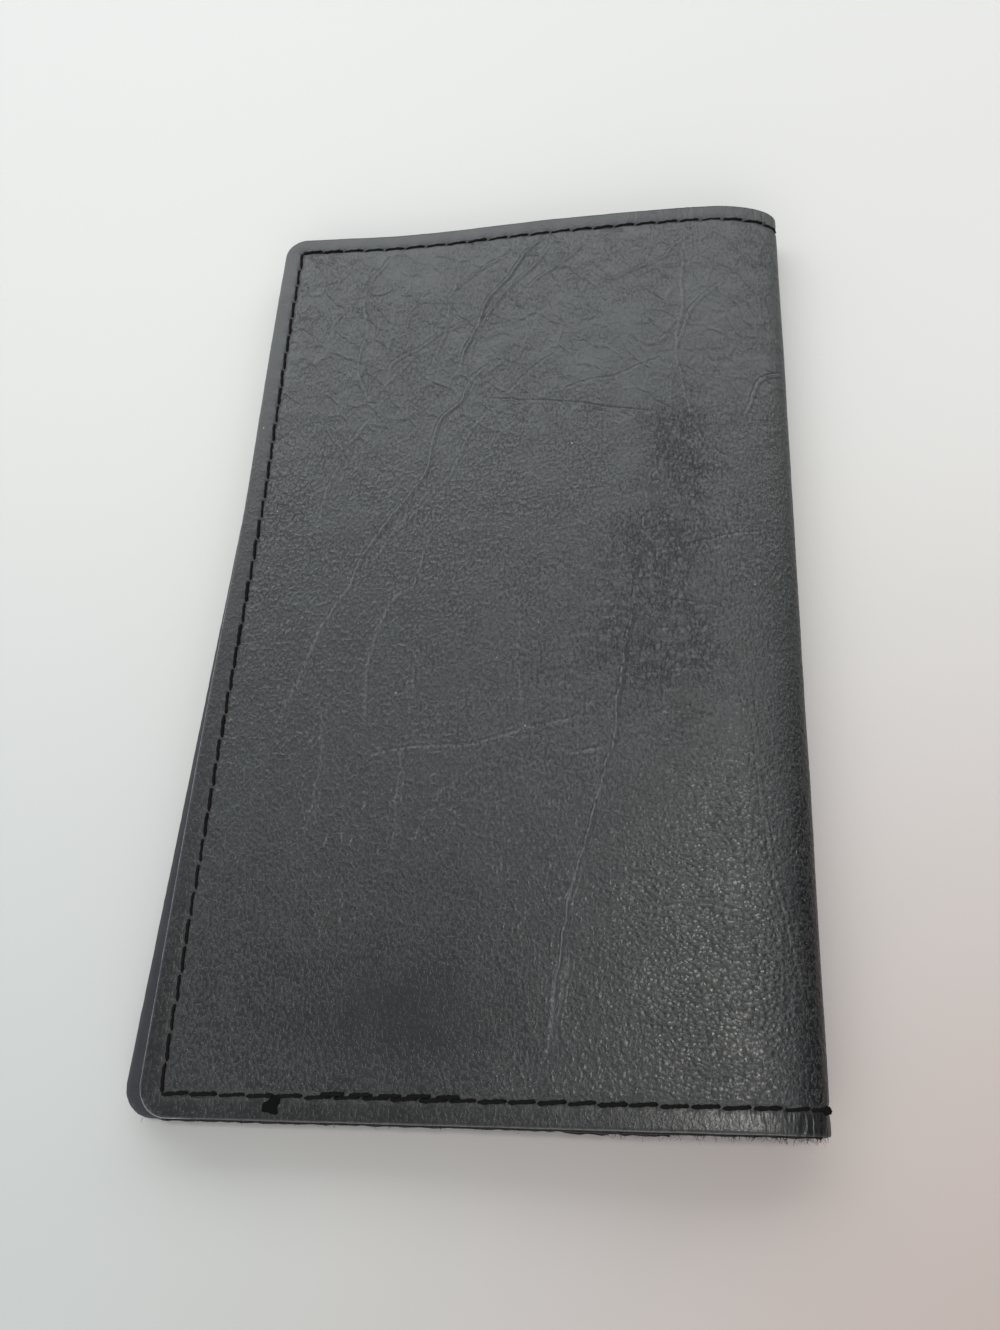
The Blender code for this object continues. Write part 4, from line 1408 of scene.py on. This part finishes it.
# %% One stitch
THREAD_RADIUS = 0.28 * MM
THREAD_DEPTH = 0.14 * MM
STITCH_ROD, STITCH_SHAPE = rod(8, 8)


def stitch_points(start, finish, side, surface, facing, seed, shift=0.0, slant_share=1.0):
    """Flat points (s, y, height) of one stitch between two holes."""
    rng = np.random.default_rng(seed)
    way = finish - start
    along = way / np.hypot(*way)
    across = np.array((-along[1], along[0]))
    t = STITCH_SHAPE[:, 2] + 0.5
    angle = np.arctan2(STITCH_SHAPE[:, 1], STITCH_SHAPE[:, 0])
    ends = 2 * np.abs(t - 0.5)
    phase = rng.uniform(0, math.pi) + t * rng.uniform(7.0, 9.0)
    radius = THREAD_RADIUS * rng.uniform(0.9, 1.1) * (0.82 + 0.20 * np.cos(2 * (angle - phase)))
    radius *= 1 - 0.30 * ends**6
    aside = (0.5 - t) * rng.uniform(0.16, 0.36) * MM * slant_share + rng.uniform(-0.05, 0.05) * MM + shift
    lift = rng.uniform(-0.05, 0.05) * MM - 0.30 * MM * ends**6
    flat = start + t[:, None] * way + (aside + radius * np.cos(angle))[:, None] * across
    height = surface + facing * (lift + radius * np.sin(angle))
    return np.stack((side * flat[:, 0], flat[:, 1], height), axis=1)


def inner_height(side, place):
    """Where thread lies on the inner side: on the panel, or on the lining beside the fold."""
    depth, thickness = FRAME_LAYER if side < 0 else PANEL_LAYER
    lining = -(LINING_LAYER[0] + LINING_LAYER[1])
    share = float(smooth((place[0] - FREE_EDGE + 1.5 * MM) / (3 * MM)))
    return lining + (0.16 * MM - depth - thickness - lining) * share


def on_bottom(holes, low, high):
    return [h for h in holes if h[1] < -TOP_Y + 1.5 * SEAM_INSET and low < h[0] < high]


# %% The seams
# Where the bottom was sewn over twice, and the knot's place, its stitches' turns and reach
SEWN_TWICE = (36 * MM, 61 * MM)
KNOT_PLACE = np.array((1.3 * MM, -TOP_Y + SEAM_INSET - 0.1 * MM))
KNOT_TURNS = (0.5, 1.4, 2.5)
KNOT_REACH = 0.42 * MM
SEAMS = [
    (-1, front_holes, "front_seam_stitches",
     ("front_seam_thread", "spine_thread_top", "spine_thread_bottom")),
    (1, back_holes, "back_seam_stitches", ("back_seam_thread",)),
]
for side, holes, name, nodes in SEAMS:
    pairs = list(zip(holes, holes[1:]))
    outer = [stitch_points(p, q, side, -THREAD_DEPTH, 1, i) for i, (p, q) in enumerate(pairs)]
    if side < 0:
        again = on_bottom(holes, *SEWN_TWICE)
        again = [(p + q) / 2 for p, q in zip(again, again[1:])]
        for i, (p, q) in enumerate(zip(again, again[1:])):
            outer.append(stitch_points(p, q, side, -THREAD_DEPTH, 1, 500 + i, 0.30 * MM, 0.4))
        for i, turn in enumerate(KNOT_TURNS):
            half = KNOT_REACH * pointing(turn)
            ends = (KNOT_PLACE - half, KNOT_PLACE + half)
            outer.append(stitch_points(*ends, side, 0.12 * MM, 1, 600 + i))
    thread = laid_copies(name, STITCH_ROD, outer, THREAD_FINISH)
    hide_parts(*nodes)
    bend(thread, side)
    inner = []
    for i, (p, q) in enumerate(pairs):
        surface = inner_height(side, (p + q) / 2)
        inner.append(stitch_points(p, q, side, surface, -1, 700 + i))
    inside_thread = laid_copies(name.replace("seam", "inner"), STITCH_ROD, inner, THREAD_FINISH)
    bend(inside_thread, side)

# %% [markdown]
# ## A dab of edge paint
#
# The edges were painted black by hand, and one dab ran onto the margin at the lower left. It
# is a thin flat drop with three blunt corners, made from a short round rod whose radius is
# changed by direction. It has the paint's dead black, without the film's sheen.

# %% The dab
DAB_PLACE = np.array((62.4, -61.9)) * MM
# Its reach in mm towards each direction, in degrees
DAB_DIRECTIONS = [0, 44, 120, 209, 265, 318]
DAB_REACHES = [0.9, 1.5, 0.6, 1.2, 0.7, 1.5]
DAB_HEIGHT = 0.05 * MM


def paint_material():
    """Brushed edge paint: a thick matt coat, dead black."""
    made, _, shader = new_material("matt_black_edge_paint")
    shader.inputs["Base Color"].default_value = rgba("#050404")
    shader.inputs["Roughness"].default_value = 0.9
    shader.inputs["Specular IOR Level"].default_value = 0.1
    return made


DAB_ROD, DAB_SHAPE = rod(28, 3, 0.75)
directions = np.degrees(np.arctan2(DAB_SHAPE[:, 1], DAB_SHAPE[:, 0]))
reaches = np.interp(directions, DAB_DIRECTIONS, DAB_REACHES, period=360) * MM
reaches *= 0.94 + 0.06 * np.sin(np.radians(directions * 7))
dab_points = np.stack((
    -DAB_PLACE[0] + reaches * DAB_SHAPE[:, 0],
    DAB_PLACE[1] + reaches * DAB_SHAPE[:, 1],
    (DAB_SHAPE[:, 2] - 0.1) * DAB_HEIGHT,
), axis=1)
dab = laid_copies("edge_paint_dab", DAB_ROD, [dab_points], paint_material())
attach(dab, "front")

# %% [markdown]
# ## Loose fibres
#
# The bottom edge has frayed: short fibres of leather and lining stand out from it, thickest
# near the fold, and a wisp stands out at the back's lower corner. Each is a thin three-sided
# rod with a bend, laid on the same profile as the leather. They are drawn a
# little thicker than real ones, which would not show at this size.

# %% One fibre
FIBRE_ROD, FIBRE_SHAPE = rod(3, 4, 0.4)
FIBRE_RADIUS = 0.032 * MM


def fibre_points(side, root, heading, length, depth, rng):
    """Flat points of one fibre: from its root in the edge, outwards, with a random curl."""
    t = FIBRE_SHAPE[:, 2] + 0.5
    across = np.array((-heading[1], heading[0]))
    curl = rng.uniform(-0.6, 0.6) * length
    radius = FIBRE_RADIUS * rng.uniform(0.7, 1.3)
    bent = curl * t**2 + 0.15 * length * np.sin(7 * t + rng.uniform(0, 6))
    flat = root + (t * length)[:, None] * heading + (bent + radius * FIBRE_SHAPE[:, 0])[:, None] * across
    height = -depth + rng.uniform(-0.4, 0.5) * length * t + radius * FIBRE_SHAPE[:, 1]
    return np.stack((side * flat[:, 0], flat[:, 1], height), axis=1)


# %% Fibres along the cut edges
# Stretches of the bottom edge: from and to, in mm from the fold, and how many fibres
FRAYED_STRETCHES = [(0.3, 12.0, 60), (12.0, 26.0, 46), (26.0, 48.0, 16), (48.0, 78.0, 26)]
OPEN_EDGE_FIBRES = 26
WISP_FIBRES = 20
WISP_PLACE = np.array((BACK_REACH - 0.3 * MM, -TOP_Y + 3.9 * MM))
ROOT_DEPTH = 0.08 * MM


def frayed_edge(side, seed):
    """Fibres for one half: many on the bottom edge near the fold, few elsewhere."""
    rng = np.random.default_rng(seed)
    fibres = []
    for low, high, count in FRAYED_STRETCHES:
        for _ in range(count):
            a = rng.uniform(low, high) * MM
            root = np.array((a, -TOP_Y + ROOT_DEPTH))
            heading = pointing(-math.pi / 2 + rng.normal(0, 0.6))
            length = rng.uniform(0.25, 1.0) * (1.0 if a < 26 * MM else 0.6) * MM
            depth = rng.uniform(0.3, 0.85) * MM
            fibres.append(fibre_points(side, root, heading, length, depth, rng))
    for _ in range(OPEN_EDGE_FIBRES):
        y = rng.uniform(-TOP_Y + 5 * MM, TOP_Y - 5 * MM)
        root = np.array((float(open_edge(side, y)) - ROOT_DEPTH, y))
        heading = pointing(rng.normal(0, 0.6))
        length = rng.uniform(0.15, 0.45) * MM
        depth = rng.uniform(0.3, 0.85) * MM
        fibres.append(fibre_points(side, root, heading, length, depth, rng))
    return fibres


def corner_wisp(seed):
    """Longer fibres that stand out together at the back's lower corner."""
    rng = np.random.default_rng(seed)
    fibres = []
    for _ in range(WISP_FIBRES):
        heading = pointing(rng.normal(0.0, 0.28))
        length = rng.uniform(0.9, 1.9) * MM
        fibres.append(fibre_points(1, WISP_PLACE, heading, length, 0.6 * MM, rng))
    return fibres


for side, name, seed in ((-1, "front_fluff", 71), (1, "back_fluff", 72)):
    fibres = frayed_edge(side, seed)
    if side > 0:
        fibres += corner_wisp(73)
        # The back lies on the table, so its fibres are kept above it
        for points in fibres:
            points[:, 2] = np.minimum(points[:, 2], -0.03 * MM)
    fluff = laid_copies(name, FIBRE_ROD, fibres, FLUFF_FINISH)
    bend(fluff, side)
